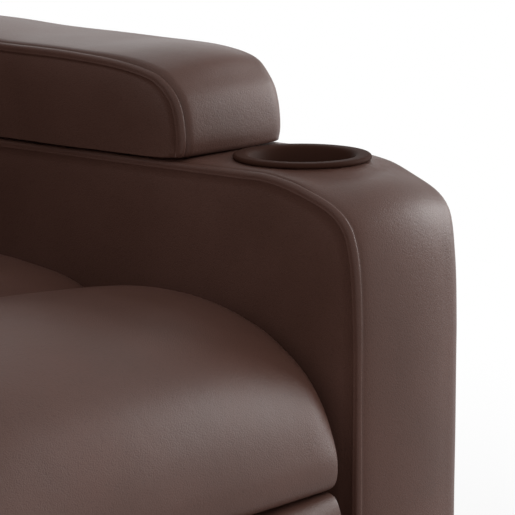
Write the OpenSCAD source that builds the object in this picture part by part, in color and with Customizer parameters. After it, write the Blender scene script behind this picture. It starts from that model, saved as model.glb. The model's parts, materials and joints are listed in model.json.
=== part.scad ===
// Power lift recliner chair: upright, leg rest closed, frame down on its base.
// Millimetres. +Z is up, the chair faces -Y, and the origin is on the floor
// at the centre of the chair's box. "Left" is the sitter's left, on +X.

/* [Upholstery] */
// Clear seat width between the arms
seat_w = 500; // [420:5:600]
// Seat depth, from the front of the arms to the back pillows
seat_d = 540; // [450:5:650]
// Width of one arm
arm_w = 150; // [125:5:180]
// Height of the arm's flat front part
arm_top = 590; // [560:5:640]
// Length of an arm
arm_l = 810; // [760:5:960]
// Height of an arm's underside above the floor
arm_clear = 45; // [40:1:60]
// Length of the arm's curved nose, back along its top
nose_l = 110; // [90:1:130]
// Height of the arm's curved nose, down its front
nose_h = 140; // [110:1:170]
// Radius of the arm's outer front corner
arm_corner_r = 38; // [20:1:55]
// Thickness of the arm's padded skin
skin_t = 8; // [5:1:12]
// Thickness of the wooden boards inside
board_t = 18; // [12:1:25]
// Height of the raised arm pad
pad_h = 96; // [80:1:110]
// Distance from the arm's front to the pad's front
pad_set = 215; // [190:1:240]
// Length of the arm pad
pad_l = 500; // [440:5:560]
// Height of the seat's crown
seat_top = 503; // [485:1:525]
// Height of the seam under the seat's front roll
seam_z = 325; // [323:1:340]
// Gap between soft pieces and their neighbours
soft_gap = 3; // [1:0.5:5]

/* [Cup holder] */
// Diameter of the cup well
cup_d = 78; // [70:1:88]
// Depth of the cup well
cup_depth = 75; // [55:1:100]
// Diameter of the rim
rim_d = 118; // [112:1:126]
// Wall of the cup well
cup_wall = 4; // [2:0.5:6]
// Distance from the arm's front to the cup's centre
cup_set = 126; // [118:1:140]

/* [Back] */
// Lean of the back when upright, from the vertical
back_lean = 15; // [8:1:20]
// Height of the back above its hinge
back_h = 715; // [600:5:860]
// Distance from the pillows' foot to the back's hinge
hinge_set = 75; // [70:1:90]
// Height of the back's hinge
hinge_z = 330; // [325:1:340]
// Depth of the back's shell behind the hinge
shell_d = 140; // [110:5:160]
// Depth of the back pillows
pillow_d = 100; // [80:1:110]
// Width of one head wing
wing_w = 70; // [50:1:90]
// How far a wing stands out past the seat's width
wing_out = 35; // [20:1:50]

/* [Lift linkage] */
// Angle that the lift arms turn through
lift_turn = 50; // [30:1:50]
// Length of a lift arm between its pivots
lift_arm_l = 400; // [360:5:430]
// Length of a front link between its pivots
link_l = 107; // [100:1:115]
// Diameter of the main pivot pins
pin_d = 16; // [12:1:18]
// Diameter of the link pins
link_pin_d = 12; // [8:1:14]
// Radial clearance of a pin in its bore
run_gap = 0.05; // [0.02:0.01:0.1]
// Radial clearance of a pin in an open bore, which takes up the linkage's error
play_gap = 0.9; // [0.8:0.1:1.2]

/* [Base] */
// Length of the base rails
rail_l = 700; // [600:10:800]
// Width of a rail tube
rail_w = 30; // [25:1:34]
// Height of a rail tube
rail_h = 40; // [30:1:40]
// Height of the rubber feet
foot_h = 12; // [8:1:14]

/* [Hidden] */

leather = [0.36, 0.27, 0.24];
steel = [0.16, 0.16, 0.17];
zinc = [0.62, 0.63, 0.64];
wood = [0.72, 0.56, 0.38];
plastic = [0.13, 0.10, 0.09];
cloth = [0.15, 0.14, 0.14];

// ---- places along the chair ----
shell_r = 40;
chair_l = seat_d + hinge_set + (shell_d - shell_r) * cos(back_lean)
  + (back_h - shell_r) * sin(back_lean) + shell_r;
front_y = -chair_l / 2;
hinge_y = front_y + seat_d + hinge_set;
arm_rear = front_y + arm_l;
inner = seat_w / 2;
outer = inner + arm_w;

// ---- lateral planes of the steelwork, from the middle outwards ----
leg_x = inner - 104;
leg_t = 5;
leg_pitch = 7;
post_x = inner - 86;
post_w = 30;
hinge_plate_x = inner - 56;
plate_t = 6;
chassis_x = inner - 48;
bar_x = inner - 36;
bar_t = 8;
rail_x = inner - 10 - rail_w;
bracket_x = inner - 24;
side_rail_x = chassis_x + plate_t;

// ---- heights ----
rail_z = foot_h + rail_h;
beam_z = 215;
low_rail_z = 238;
tube_z = 299;
deck_z = 317;
deck_t = 5;
tube_w = 18;

// ---- lift linkage, in the YZ plane ----
main_lug = 38;
link_lug = 30;
lift_pivot = [front_y + 263, 175];
lift_tip = lift_pivot + [lift_arm_l, 0];
link_foot = lift_pivot + [-162.8, -71.2];
link_angle = -15.5;
link_tip = lift_pivot + [-60, -100];
link_end = link_foot + link_l * [cos(link_angle), sin(link_angle)];
shaft_d = 30;
shaft_wall = 3;

// ---- leg rest linkage, in the YZ plane ----
leg_lug = 22;
leg_pin_d = 10;
drive_angle = -94;
drive_l = 150;
carrier_angle = 124;
carrier_l = 200;
leg_pivot = [front_y + 212, 270];
knee = leg_pivot + drive_l * [cos(drive_angle), sin(drive_angle)];
carrier_end = knee + carrier_l * [cos(carrier_angle), sin(carrier_angle)];
guide_foot = leg_pivot + [-34.7, -35.4];
guide_angle = -90.1;
guide_end = guide_foot + 128.4 * [cos(guide_angle), sin(guide_angle)];
guide_tip = knee + turned([1.7, 28], carrier_angle);
tilt_foot = knee + turned([9.9, 35.5], drive_angle);
tilt_angle = 124.2;
tilt_end = tilt_foot + 201.7 * [cos(tilt_angle), sin(tilt_angle)];
tilt_tip = carrier_end + [33.4, -11.2];
leg_shaft_d = 25;

// ---- actuators: lever length, half swing, tilt of the rod, side, pin ----
lever_pin_d = 12;
slot_side = 1.5;
head_w = 16;
head_l = 34;
head_gap = 2;
lever_t = 6;
rod_d = 16;
rod_gap = 0.3;
tube_d = 34;
ear_l = 18;
gear = [56, 60, 60];
motor_d = 46;
motor_l = 82;
lift_x = -70;
lift_tilt = 21;
lift_lever = 70;
lift_half = lift_turn / 2;
recline_x = 70;
recline_lever = 60;
recline_half = 21;
legrest_lever = 48;
legrest_half = 40.5;
lift_lever_angle = 90 - lift_tilt - lift_half;
lift_lever_pin = lift_pivot + lift_lever * [cos(lift_lever_angle), sin(lift_lever_angle)];
lift_axis = axis_height(lift_lever, lift_half);
lift_head = lift_pivot + lift_axis * [sin(lift_tilt), cos(lift_tilt)]
  - lift_lever * sin(lift_half) * [-cos(lift_tilt), sin(lift_tilt)];
recline_pin = [hinge_y + recline_lever * sin(recline_half), hinge_z - recline_lever * cos(recline_half)];
recline_head = [recline_pin.x, hinge_z - axis_height(recline_lever, recline_half)];
legrest_pin = leg_pivot + legrest_lever * [sin(legrest_half), -cos(legrest_half)];
legrest_head = [legrest_pin.x, leg_pivot.y - axis_height(legrest_lever, legrest_half)];

// ---- cross tubes ----
base_front_y = front_y + 118;
base_rear_y = front_y + 650;
base_tube_w = 40;
front_tube_y = front_y + 113;
rail_front_y = front_tube_y - 6;
middle_tube_y = front_y + 251;
rear_tube_y = front_y + 554;

// ---- upholstery ----
seat_foot = deck_z + deck_t + 0.3;
seat_rear = front_y + seat_d + 30;
pad_front = front_y + pad_set;
pad_top = arm_top + pad_h;
cup_x = (inner + outer) / 2;
cup_y = front_y + cup_set;
rim_t = 5;
glue = 0.2;
funnel_d = rim_d - 10;
legrest_t = 65;
legrest_board_t = 11;
legrest_top = seam_z - 14;
legrest_foot = 62;
pillow_back = -17;
pillow_front = pillow_back - pillow_d;
wing_foot = 447;
wing_top = back_h - 8;
shell_foot = 60;
shell_front_u = pillow_back + 0.3;
frame_front_u = shell_front_u + skin_t;
shell_half = inner - soft_gap - 1;
pocket_t = 34;
pocket_wall = 3;
pocket_y = front_y + 225;
pocket_l = 210;
pocket_z = 330;
pocket_h = 140;
handset_size = [22, 54, 200];
handset_y = pocket_y + 78;
handset_z = pocket_z + pocket_wall + 0.5;
handset_x = -(outer + pocket_wall + 3.5) - handset_size.x;
button_d = 16;
button_out = 1.5;
button_in = 3;

// ================= shared shapes =================

function turned(v, a) = [v.x * cos(a) - v.y * sin(a), v.x * sin(a) + v.y * cos(a)];

// Distance of a slotted rod's axis from the lever's shaft, half way along the pin's arc
function axis_height(lever, half) = lever * (1 + cos(half)) / 2;

// One stretch of a smooth closed curve through its control points
function bend(a, b, c, d, t) =
  0.5 * (2 * b + (c - a) * t + (2 * a - 5 * b + 4 * c - d) * t * t + (3 * b - a - 3 * c + d) * t * t * t);

function smooth(c, n) = [
  for (i = [0:len(c) - 1], k = [0:n - 1])
    let (m = len(c)) bend(c[(i + m - 1) % m], c[i], c[(i + 1) % m], c[(i + 2) % m], k / n)
];

// An outline brought in by e at its furthest from the point it rests on
function drawn_in(p, e, rest) =
  let (far = [for (k = [0:1]) max([for (q = p) abs(q[k] - rest[k])])])
  [for (q = p) [for (k = [0:1]) rest[k] + (q[k] - rest[k]) * (1 - e / far[k])]];

function middle(p) = [for (k = [0:1]) (max([for (q = p) q[k]]) + min([for (q = p) q[k]])) / 2];

// Puts a shape of the +X side on either side
module side(s) {
  if (s > 0) children();
  else mirror([1, 0, 0]) children();
}

// A flat shape drawn in YZ, from x0 to x1
module plate(x0, x1) {
  translate([x0, 0, 0]) rotate([90, 0, 90]) linear_extrude(x1 - x0) children();
}

// A pin or bore along X at a YZ point
module pin(p, d, x0, x1) {
  translate([x0, p.x, p.y]) rotate([0, 90, 0]) cylinder(d = d, h = x1 - x0, $fn = 48);
}

module disc(p, d) {
  translate(p) circle(d = d, $fn = 64);
}

// A flat bar between two points, with round ends a little wider than itself
module bar(a, b, w) {
  d = b - a;
  t = 0.9 * w;
  disc(a, w);
  disc(b, w);
  translate(a) rotate(atan2(d.y, d.x)) translate([0, -t / 2]) square([norm(d), t]);
}

// A rectangle from its corners
module rect(a, b) {
  translate(a) square(b - a);
}

module block(a, b) {
  translate(a) cube(b - a);
}

// Rounded rectangle with one radius
module round_rect(a, b, r) {
  rect([a.x + r, a.y], [b.x - r, b.y]);
  rect([a.x, a.y + r], [b.x, b.y - r]);
  for (x = [a.x + r, b.x - r], y = [a.y + r, b.y - r]) disc([x, y], 2 * r);
}

// A stuffed form: an outline in YZ, carried from -half to half along X round x_mid. It is
// crowned towards the middle and its sides draw in over a rounded edge. It rests on a plane
// behind it or on one below it, and no point goes past either.
module cushion(outline, half, x_mid, crown, edge, edge_w, back, foot, rests_below) {
  turns = [0, 30, 60, 90];
  right = [for (a = turns) [half - edge_w + edge_w * sin(a), crown + edge * (1 - cos(a))]];
  inside = [for (t = [-0.75:0.25:0.75]) [t * (half - edge_w), crown * t * t]];
  rings = concat([for (i = [3:-1:0]) [-right[i].x, right[i].y]], inside, right);
  n = len(outline);
  held = [for (p = outline) [min(p.x, back), max(p.y, foot)]];
  mid = middle(held);
  rest = rests_below ? [mid.x, foot] : [back, mid.y];
  sections = [for (r = rings) [for (p = drawn_in(held, r.y, rest)) [r.x + x_mid, p.x, p.y]]];
  m = len(rings);
  points = concat([for (s = sections, p = s) p],
    [[rings[0].x + x_mid, mid.x, mid.y], [rings[m - 1].x + x_mid, mid.x, mid.y]]);
  walls = [for (k = [0:m - 2], i = [0:n - 1]) let (a = k * n + i, b = k * n + (i + 1) % n)
    each [[a, a + n, b + n], [a, b + n, b]]];
  caps = [for (i = [0:n - 1]) each
    [[m * n, i, (i + 1) % n], [m * n + 1, (m - 1) * n + (i + 1) % n, (m - 1) * n + i]]];
  polyhedron(points, concat(walls, caps));
}

// Carries the back's own frame, with its origin on the hinge and +Z up along the back
module on_back() {
  translate([0, hinge_y, hinge_z]) rotate([-back_lean, 0, 0]) children();
}

// ---- slotted head and rod of an actuator, at the origin, its rod running along +Y ----
module rod_part(lever, half, rod_l) {
  slot = [2 * head_w, lever_pin_d + 2 * slot_side, lever * (1 - cos(half)) + lever_pin_d + 2];
  difference() {
    union() {
      block([-head_w / 2, -head_l / 2, -head_l / 2 + 1], [head_w / 2, head_l / 2, head_l / 2 - 1]);
      translate([0, head_l / 2 - 2, 0]) rotate([-90, 0, 0]) cylinder(d = rod_d, h = rod_l, $fn = 48);
    }
    block(-slot / 2, slot / 2);
  }
}

// ---- fixed part of an actuator: outer tube, gearbox, motor and the ear it hangs by ----
module motor_part(start, tube_l, motor_up) {
  bore_d = rod_d + 2 * rod_gap;
  gear_y = start + tube_l;
  ear_y = gear_y + gear.y + ear_l;
  difference() {
    union() {
      translate([0, start, 0]) rotate([-90, 0, 0]) cylinder(d = tube_d, h = tube_l + 1, $fn = 64);
      block([-gear.x / 2, gear_y, -gear.z / 2], [gear.x / 2, gear_y + gear.y, gear.z / 2]);
      translate([0, gear_y + gear.y / 2, 0]) rotate([motor_up ? 0 : 180, 0, 0])
        translate([0, 0, gear.z / 2 - 1]) cylinder(d = motor_d, h = motor_l, $fn = 64);
      block([-7, gear_y + gear.y - 1, -12], [7, ear_y + 14, 12]);
    }
    translate([0, start - 1, 0]) rotate([-90, 0, 0]) cylinder(d = bore_d, h = tube_l + gear.y / 2, $fn = 48);
    translate([-10, ear_y, 0]) rotate([0, 90, 0]) cylinder(d = leg_pin_d + 0.2, h = 20, $fn = 48);
  }
}

// Two lever plates and their cross pin on a shaft
module lever_pair(shaft, tip, shaft_lug) {
  x0 = head_w / 2 + head_gap;
  for (x = [-x0 - lever_t, x0]) plate(x, x + lever_t) {
    bar(shaft, tip, 22);
    disc(shaft, shaft_lug);
  }
  pin(tip, lever_pin_d, -x0 - 1, x0 + 1);
}

// ================= base, on the floor =================

module base_rail(s) {
  wall = 2.5;
  y0 = front_y + 85;
  color(steel) side(s) difference() {
    block([rail_x, y0, foot_h], [rail_x + rail_w, y0 + rail_l, rail_z]);
    block([rail_x + wall, y0 - 1, foot_h + wall], [rail_x + rail_w - wall, y0 + rail_l + 1, rail_z - wall]);
  }
}

module base_cross_tubes() {
  color(steel) for (y = [base_front_y, base_rear_y])
    block([-rail_x, y, foot_h], [rail_x, y + base_tube_w, rail_z]);
}

module base_feet() {
  foot_d = rail_w + 4;
  color(plastic) for (s = [-1, 1], y = [front_y + 125, front_y + 45 + rail_l]) side(s)
    translate([rail_x + rail_w / 2, y, 0]) cylinder(d = foot_d, h = foot_h, $fn = 48);
}

// Upright plate with the fixed pins of the lift arm and the front link
module base_bracket(s) {
  color(steel) side(s) {
    plate(bracket_x, bracket_x + plate_t) {
      disc(lift_pivot, main_lug);
      disc(link_foot, link_lug);
      polygon([
        [link_foot.x - 15, rail_z], [lift_pivot.x + 30, rail_z], [lift_pivot.x + 18, lift_pivot.y - 8],
        [lift_pivot.x - 12, lift_pivot.y + 15], [link_foot.x - 8, link_foot.y + 12]
      ]);
    }
    pin(lift_pivot, pin_d, bar_x - 3, bracket_x + 1);
    pin(link_foot, link_pin_d, bar_x - 3, bracket_x + 1);
  }
}

lift_start = 45;
lift_reach = (base_rear_y + base_tube_w / 2 - lift_head.x) / cos(lift_tilt);
lift_ear = lift_head + lift_reach * [cos(lift_tilt), -sin(lift_tilt)];

// Two cheeks and the pin that an actuator's ear hangs on
module cheeks(x, ear, z0, z1, depth) {
  gap = 8;
  for (d = [-gap - 5, gap]) plate(x + d, x + d + 5) {
    disc(ear, depth);
    rect([ear.x - depth / 2, z0], [ear.x + depth / 2, z1]);
  }
  pin(ear, leg_pin_d, x - gap - 1, x + gap + 1);
}

module lift_motor_stand() {
  color(steel) cheeks(lift_x, lift_ear, rail_z, lift_ear.y, 34);
}

module lift_motor() {
  color(plastic) translate([lift_x, lift_head.x, lift_head.y]) rotate([-lift_tilt, 0, 0])
    motor_part(lift_start, lift_reach - lift_start - gear.y - ear_l, true);
}

module power_supply() {
  size = [110, 84, 46];
  at = [50, base_rear_y + 4, rail_z];
  inlet = [21, 10, 13];
  color(plastic) difference() {
    block(at, at + size);
    translate(at + [(size.x - inlet.x) / 2, size.y - inlet.y, (size.z - inlet.z) / 2])
      cube([inlet.x, inlet.y + 1, inlet.z]);
  }
}

// ================= lift arms and links =================

module lift_arm(s) {
  color(steel) side(s) difference() {
    plate(bar_x, bar_x + bar_t) bar(lift_pivot, lift_tip, main_lug);
    for (p = [lift_pivot, lift_tip]) pin(p, pin_d + 2 * run_gap, bar_x - 1, bar_x + bar_t + 1);
  }
}

// Shaft that joins the two lift arms, with the lever that the lift motor pushes
module lift_torque_tube() {
  color(steel) difference() {
    union() {
      pin(lift_pivot, shaft_d, -bar_x, bar_x);
      translate([lift_x, 0, 0]) lever_pair(lift_pivot, lift_lever_pin, 44);
    }
    pin(lift_pivot, shaft_d - 2 * shaft_wall, -bar_x - 1, bar_x + 1);
  }
}

// Its far bore is wider than the chassis pin: the linkage's open pivot
module lift_link(s) {
  color(steel) side(s) difference() {
    plate(bar_x, bar_x + bar_t) bar(link_foot, link_end, link_lug);
    pin(link_foot, link_pin_d + 2 * run_gap, bar_x - 1, bar_x + bar_t + 1);
    pin(link_end, link_pin_d + 2 * play_gap, bar_x - 1, bar_x + bar_t + 1);
  }
}

module lift_rod() {
  color(zinc) translate([lift_x, lift_head.x, lift_head.y]) rotate([-lift_tilt, 0, 0])
    rod_part(lift_lever, lift_half, lift_start + 200);
}

// ================= chassis, carried by the lift arms =================

low_beam_y = hinge_y - 42;

// Side plate with the pins of the lift linkage and the bore of the back's hinge
module chassis_plate(s) {
  x1 = chassis_x + plate_t;
  color(steel) side(s) {
    difference() {
      plate(chassis_x, x1) {
        rect([rail_front_y, beam_z], [low_beam_y, deck_z]);
        rect([low_beam_y - 1, beam_z], [lift_tip.x + main_lug / 2 + 3, low_rail_z]);
        bar(link_tip, [link_tip.x, beam_z + 20], link_lug + 4);
        bar(lift_tip, [lift_tip.x, beam_z + 2], main_lug + 4);
        bar([hinge_y, beam_z + 20], [hinge_y, hinge_z], main_lug + 2);
      }
      pin([hinge_y, hinge_z], pin_d + 2 * run_gap, chassis_x - 1, x1 + 1);
    }
    pin(lift_tip, pin_d, x1 - 1, bar_x + bar_t + 2);
    pin(link_tip, link_pin_d, x1 - 1, bar_x + bar_t + 2);
  }
}

module chassis_cross_tubes() {
  color(steel) {
    for (y = [front_tube_y, middle_tube_y, rear_tube_y])
      block([-chassis_x, y, tube_z], [chassis_x, y + tube_w, tube_z + tube_w]);
    cheeks(recline_x, [middle_tube_y + tube_w / 2, recline_head.y], recline_head.y, tube_z, tube_w);
    cheeks(0, [rear_tube_y + tube_w / 2, legrest_head.y], legrest_head.y, tube_z, tube_w);
  }
}

// Plates that carry the leg rest's linkage, below the front and middle tubes
module leg_plates() {
  x0 = leg_x + leg_pitch;
  color(steel) for (s = [-1, 1]) side(s) {
    difference() {
      plate(x0, x0 + leg_t) {
        rect([front_tube_y, tube_z - 10], [middle_tube_y + tube_w, tube_z]);
        bar(leg_pivot, [leg_pivot.x, tube_z - 20], 38);
        bar(guide_foot, [guide_foot.x, tube_z - 8], 22);
        rect([leg_pivot.x, tube_z - 24], [middle_tube_y + tube_w, tube_z - 9]);
      }
      pin(leg_pivot, leg_shaft_d + 2 * run_gap, x0 - 1, x0 + leg_t + 1);
    }
    pin(guide_foot, leg_pin_d, leg_x - 2, x0 + 1);
  }
}

module seat_rail(s) {
  color(wood) side(s) plate(side_rail_x, inner) {
    rect([rail_front_y, beam_z], [low_beam_y, deck_z]);
    rect([low_beam_y - 1, beam_z], [arm_rear - 27, low_rail_z]);
  }
}

module rear_rail() {
  color(wood) block([-side_rail_x, arm_rear - 51, low_rail_z - 98], [side_rail_x, arm_rear - 27, low_rail_z]);
}

// The seat's board, narrower in front of the seat rails
module seat_deck() {
  color(wood) for (a = [[inner - 28, front_y + 40], [inner - 1, rail_front_y]])
    block([-a.x, a.y, deck_z], [a.x, seat_rear, deck_z + deck_t]);
}

// Height above the seam as a share of the seat's height
function seat_z(share) = seam_z + share * (seat_top - seam_z);

// Seat with a front roll and two lobes, in one cover
module seat_cushion() {
  f = front_y;
  r = seat_rear;
  outline = smooth([
    [r, seam_z - 4], [r + 1, seat_z(0.28)], [r - 14, seat_z(0.42)], [r - 33, seat_z(0.55)],
    [r - 37, seat_z(0.75)], [r - 48, seat_z(0.92)], [r - 96, seat_z(0.99)],
    [f + seat_d * 0.75, seat_z(1)], [f + seat_d * 0.62, seat_z(0.955)], [f + seat_d * 0.54, seat_z(0.9)],
    [f + seat_d * 0.505, seat_z(0.875)], [f + seat_d * 0.46, seat_z(0.925)],
    [f + seat_d * 0.38, seat_z(0.945)], [f + 150, seat_z(0.91)], [f + 97, seat_z(0.82)],
    [f + 62, seat_z(0.71)], [f + 30, seat_z(0.53)], [f + 9, seat_z(0.32)], [f + 3, seat_z(0.15)],
    [f + 10, seam_z], [f + 40, seam_z - 4], [f + 80, seam_z - 4], [f + 160, seam_z - 4],
    [r - 60, seam_z - 4]
  ], 2);
  color(leather) cushion(outline, inner - soft_gap, 0, 13, 14, 26, r, seat_foot, true);
}

// ---- arms ----

// Nose of the arm as shares of its length and height, back and down from the corner
nose = [
  [1.4, 0], [1, 0], [0.65, 0.057], [0.35, 0.136], [0.16, 0.243], [0.064, 0.379], [0.018, 0.607],
  [0, 1], [0, 1.4]
];
nose_curve = [
  for (i = [1:len(nose) - 3], k = [0:2]) bend(nose[i - 1], nose[i], nose[i + 1], nose[i + 2], k / 3)
];

function nose_point(p) = [front_y + nose_l * p.x, arm_top - nose_h * p.y];

// The arm seen from the side, drawn in by e all round
function arm_outline(e) = let (
  c = [for (p = nose_curve) nose_point(p)],
  n = len(c),
  t = [for (i = [0:n - 1]) c[min(i + 1, n - 1)] - c[max(i - 1, 0)]]
) concat(
  [[arm_rear - e, arm_clear + e], [arm_rear - e, arm_top - e]],
  [for (i = [0:n - 1]) i == 0 ? c[0] - [0, e] : c[i] - e * [t[i].y, -t[i].x] / norm(t[i])],
  [[front_y + e, arm_top - nose_h], [front_y + e, arm_clear + e]]
);

module arm_plan(e) {
  c = [outer - arm_corner_r, front_y + arm_corner_r];
  rect([inner + e, front_y + e], [c.x, arm_rear - e]);
  rect(c, [outer - e, arm_rear - e]);
  disc(c, 2 * (arm_corner_r - e));
}

module arm_body(e) {
  intersection() {
    plate(inner + e, outer - e) polygon(arm_outline(e));
    linear_extrude(arm_top + 1) arm_plan(e);
  }
}

module cup_hole(gap) {
  translate([cup_x, cup_y, arm_top - 60]) cylinder(d = funnel_d + 2 * gap, h = 80, $fn = 96);
  translate([cup_x, cup_y, arm_top - cup_depth - cup_wall - gap])
    cylinder(d = cup_d + 2 * (cup_wall + gap), h = cup_depth, $fn = 96);
}

// Five boards with a glue line between them
module arm_frame(s) {
  x0 = inner + skin_t;
  x1 = outer - skin_t;
  x2 = x0 + board_t + glue;
  x3 = x1 - board_t - glue;
  z1 = arm_top - skin_t;
  color(wood) side(s) {
    difference() {
      union() {
        plate(x0, x0 + board_t) polygon(arm_outline(skin_t));
        intersection() {
          plate(x1 - board_t, x1) polygon(arm_outline(skin_t));
          block([x1 - board_t, front_y + arm_corner_r, 0], [x1, arm_rear, arm_top]);
        }
        block([x2, front_y + nose_l, z1 - board_t], [x3, arm_rear - skin_t, z1]);
      }
      cup_hole(1);
    }
    block([x2, front_y + skin_t, arm_clear + skin_t],
      [outer - arm_corner_r, front_y + skin_t + board_t, arm_top - nose_h]);
    block([x2, arm_rear - skin_t - board_t, arm_clear + skin_t], [x3, arm_rear - skin_t, arm_top - nose_h]);
  }
}

module arm_cover(s) {
  color(leather) side(s) difference() {
    arm_body(0);
    arm_body(skin_t);
    cup_hole(0.5);
  }
}

// Raised pad on the back part of the arm
module arm_pad(s) {
  f = pad_front;
  r = pad_front + pad_l;
  b = arm_top + 0.3;
  h = pad_top - b;
  outline = smooth([
    [r, b - 6], [r + 4, b + 0.35 * h], [r + 2, b + 0.7 * h], [r - 30, b + 0.97 * h], [r - 90, b + 1.02 * h],
    [f + 0.5 * pad_l, b + 1.01 * h], [f + 110, b + 0.985 * h], [f + 42, b + 0.94 * h], [f + 12, b + 0.83 * h],
    [f - 5, b + 0.67 * h], [f - 10, b + 0.47 * h], [f - 8, b + 0.25 * h], [f, b - 6], [f + 60, b - 10],
    [r - 60, b - 10]
  ], 2);
  color(leather) side(s)
    cushion(outline, arm_w / 2 - 1, inner + arm_w / 2, 3, 7, 12, r, b, true);
}

// Cup holder: a turned plastic well with a dished funnel and a flat rim
module cup_holder(s) {
  r = cup_d / 2;
  o = r + cup_wall;
  fr = funnel_d / 2;
  rr = rim_d / 2;
  color(plastic) side(s) translate([cup_x, cup_y, arm_top]) rotate_extrude($fn = 96) polygon([
    [0, -cup_depth - cup_wall], [o, -cup_depth - cup_wall], [o, -26], [fr, -8], [fr, 0], [rr, 0],
    [rr, rim_t - 2], [rr - 2, rim_t], [fr, rim_t], [fr - 4, rim_t - 2.5], [r + 3, -9], [r, -18],
    [r, -cup_depth], [0, -cup_depth]
  ]);
}

// Fabric pocket on the outside of the arm, open at the top
module side_pocket(s) {
  w = pocket_wall;
  color(leather) side(s) difference() {
    block([outer, pocket_y, pocket_z], [outer + pocket_t, pocket_y + pocket_l, pocket_z + pocket_h]);
    block([outer + w, pocket_y + w, pocket_z + w],
      [outer + pocket_t - w, pocket_y + pocket_l - w, pocket_z + pocket_h + 1]);
  }
}

// Its top stays below the back's shell when the back is fully reclined
module rear_panel() {
  x = inner - soft_gap;
  color(leather) block([-x, arm_rear - 27, 60], [x, arm_rear - 15, hinge_z - 75]);
}

recline_start = 65;
recline_reach = recline_head.x - middle_tube_y - tube_w / 2;

module recline_motor() {
  color(plastic) translate([recline_x, recline_head.x, recline_head.y]) rotate([0, 0, 180])
    motor_part(recline_start, recline_reach - recline_start - gear.y - ear_l, false);
}

legrest_start = 40;
legrest_reach = rear_tube_y + tube_w / 2 - legrest_head.x;

module legrest_motor() {
  color(plastic) translate([0, legrest_head.x, legrest_head.y])
    motor_part(legrest_start, legrest_reach - legrest_start - gear.y - ear_l, false);
}

// ================= back =================

// Hinge plates, the tube between them, the recline lever and the hinge pins
module back_hinge_bar() {
  x1 = hinge_plate_x + plate_t;
  hinge = [hinge_y, hinge_z];
  color(steel) {
    difference() {
      union() {
        pin(hinge, shaft_d, -hinge_plate_x, hinge_plate_x);
        translate([recline_x, 0, 0]) lever_pair(hinge, recline_pin, 44);
      }
      pin(hinge, shaft_d - 2 * shaft_wall, -hinge_plate_x + 1, hinge_plate_x - 1);
    }
    for (s = [-1, 1]) side(s) {
      on_back() plate(hinge_plate_x, x1) {
        disc([0, 0], main_lug);
        rect([frame_front_u, 0], [30, 170]);
      }
      pin(hinge, pin_d, x1 - 1, chassis_x + plate_t + 2);
    }
  }
}

module back_posts() {
  color(wood) on_back() for (s = [-1, 1]) side(s)
    block([post_x, frame_front_u, 22], [post_x + post_w, 30, back_h - 25]);
}

module back_rails() {
  low = shell_half - skin_t;
  high = inner + wing_out - skin_t;
  color(wood) on_back() for (r = [[70, low], [350, low], [back_h - 102, high]])
    block([-r[1], 30, r[0]], [r[1], 48, r[0] + 40]);
}

// Outline of the shell seen from behind, narrow between the arms and wide above them
module shell_front(e) {
  wide = inner + wing_out;
  foot_r = 18;
  top_r = 60;
  rect([-shell_half + e, shell_foot + e], [shell_half - e, wing_foot + foot_r + e]);
  rect([-wide + e, wing_foot + foot_r], [wide - e, back_h - top_r]);
  rect([-wide + foot_r, wing_foot + e], [wide - foot_r, back_h - top_r]);
  rect([-wide + top_r, back_h - top_r - 1], [wide - top_r, back_h - e]);
  for (s = [-1, 1]) {
    disc([s * (wide - foot_r), wing_foot + foot_r], 2 * (foot_r - e));
    disc([s * (wide - top_r), back_h - top_r], 2 * (top_r - e));
  }
}

// Outline of the shell seen from the side
module shell_side(e, front) {
  r = shell_r - e;
  rect([front, shell_foot + e], [shell_d - shell_r, back_h - e]);
  rect([front, shell_foot + shell_r], [shell_d - e, back_h - shell_r]);
  for (v = [shell_foot + shell_r, back_h - shell_r]) disc([shell_d - shell_r, v], 2 * r);
}

module shell_solid(e, front) {
  wide = inner + wing_out;
  intersection() {
    translate([0, shell_d, 0]) rotate([90, 0, 0]) linear_extrude(shell_d - front) shell_front(e);
    plate(-wide, wide) shell_side(e, front);
  }
}

// Closed cover over the back's frame, with slots below for the posts and hinge plates
module back_shell() {
  color(leather) on_back() difference() {
    shell_solid(0, shell_front_u);
    shell_solid(skin_t, frame_front_u);
    for (s = [-1, 1]) side(s)
      block([post_x, frame_front_u, shell_foot - 1], [hinge_plate_x + plate_t, 30, shell_foot + skin_t + 1]);
  }
}

// Pillow outline between two heights: flat behind, full in front
function pillow_outline(v0, v1, depth) = let (b = pillow_back, h = v1 - v0, d = depth) smooth([
  [b + 2, v0 + 0.12 * h], [b + 2, v0 + 0.5 * h], [b + 2, v1 - 0.12 * h], [b - 0.35 * d, v1],
  [b - 0.8 * d, v1 - 0.12 * h], [b - d, v0 + 0.6 * h], [b - 0.98 * d, v0 + 0.36 * h],
  [b - 0.8 * d, v0 + 0.1 * h], [b - 0.35 * d, v0]
], 3);

module back_pillow(v0, v1, half, depth) {
  color(leather) on_back() cushion(pillow_outline(v0, v1, depth), half, 0, 8, 22, 40, pillow_back, v0, false);
}

module pillow_lower() back_pillow(64, 256, inner - soft_gap - 3, pillow_d);
module pillow_middle() back_pillow(256 + soft_gap, wing_foot - soft_gap, inner - soft_gap - 3, pillow_d);
module pillow_head() {
  back_pillow(wing_foot, wing_top, inner + wing_out - wing_w - soft_gap, pillow_d);
}

module wing(s) {
  depth = pillow_d + 16;
  color(leather) side(s) on_back()
    cushion(pillow_outline(wing_foot, wing_top, depth), wing_w / 2, inner + wing_out - wing_w / 2,
      3, 16, 22, pillow_back, wing_foot, false);
}

module recline_rod() {
  color(zinc) translate([recline_x, recline_head.x, recline_head.y]) rotate([0, 0, 180])
    rod_part(recline_lever, recline_half, recline_start + 140);
}

// ================= leg rest =================

drive_x = leg_x + 2 * leg_pitch;
tilt_x = leg_x + 3 * leg_pitch;

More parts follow.
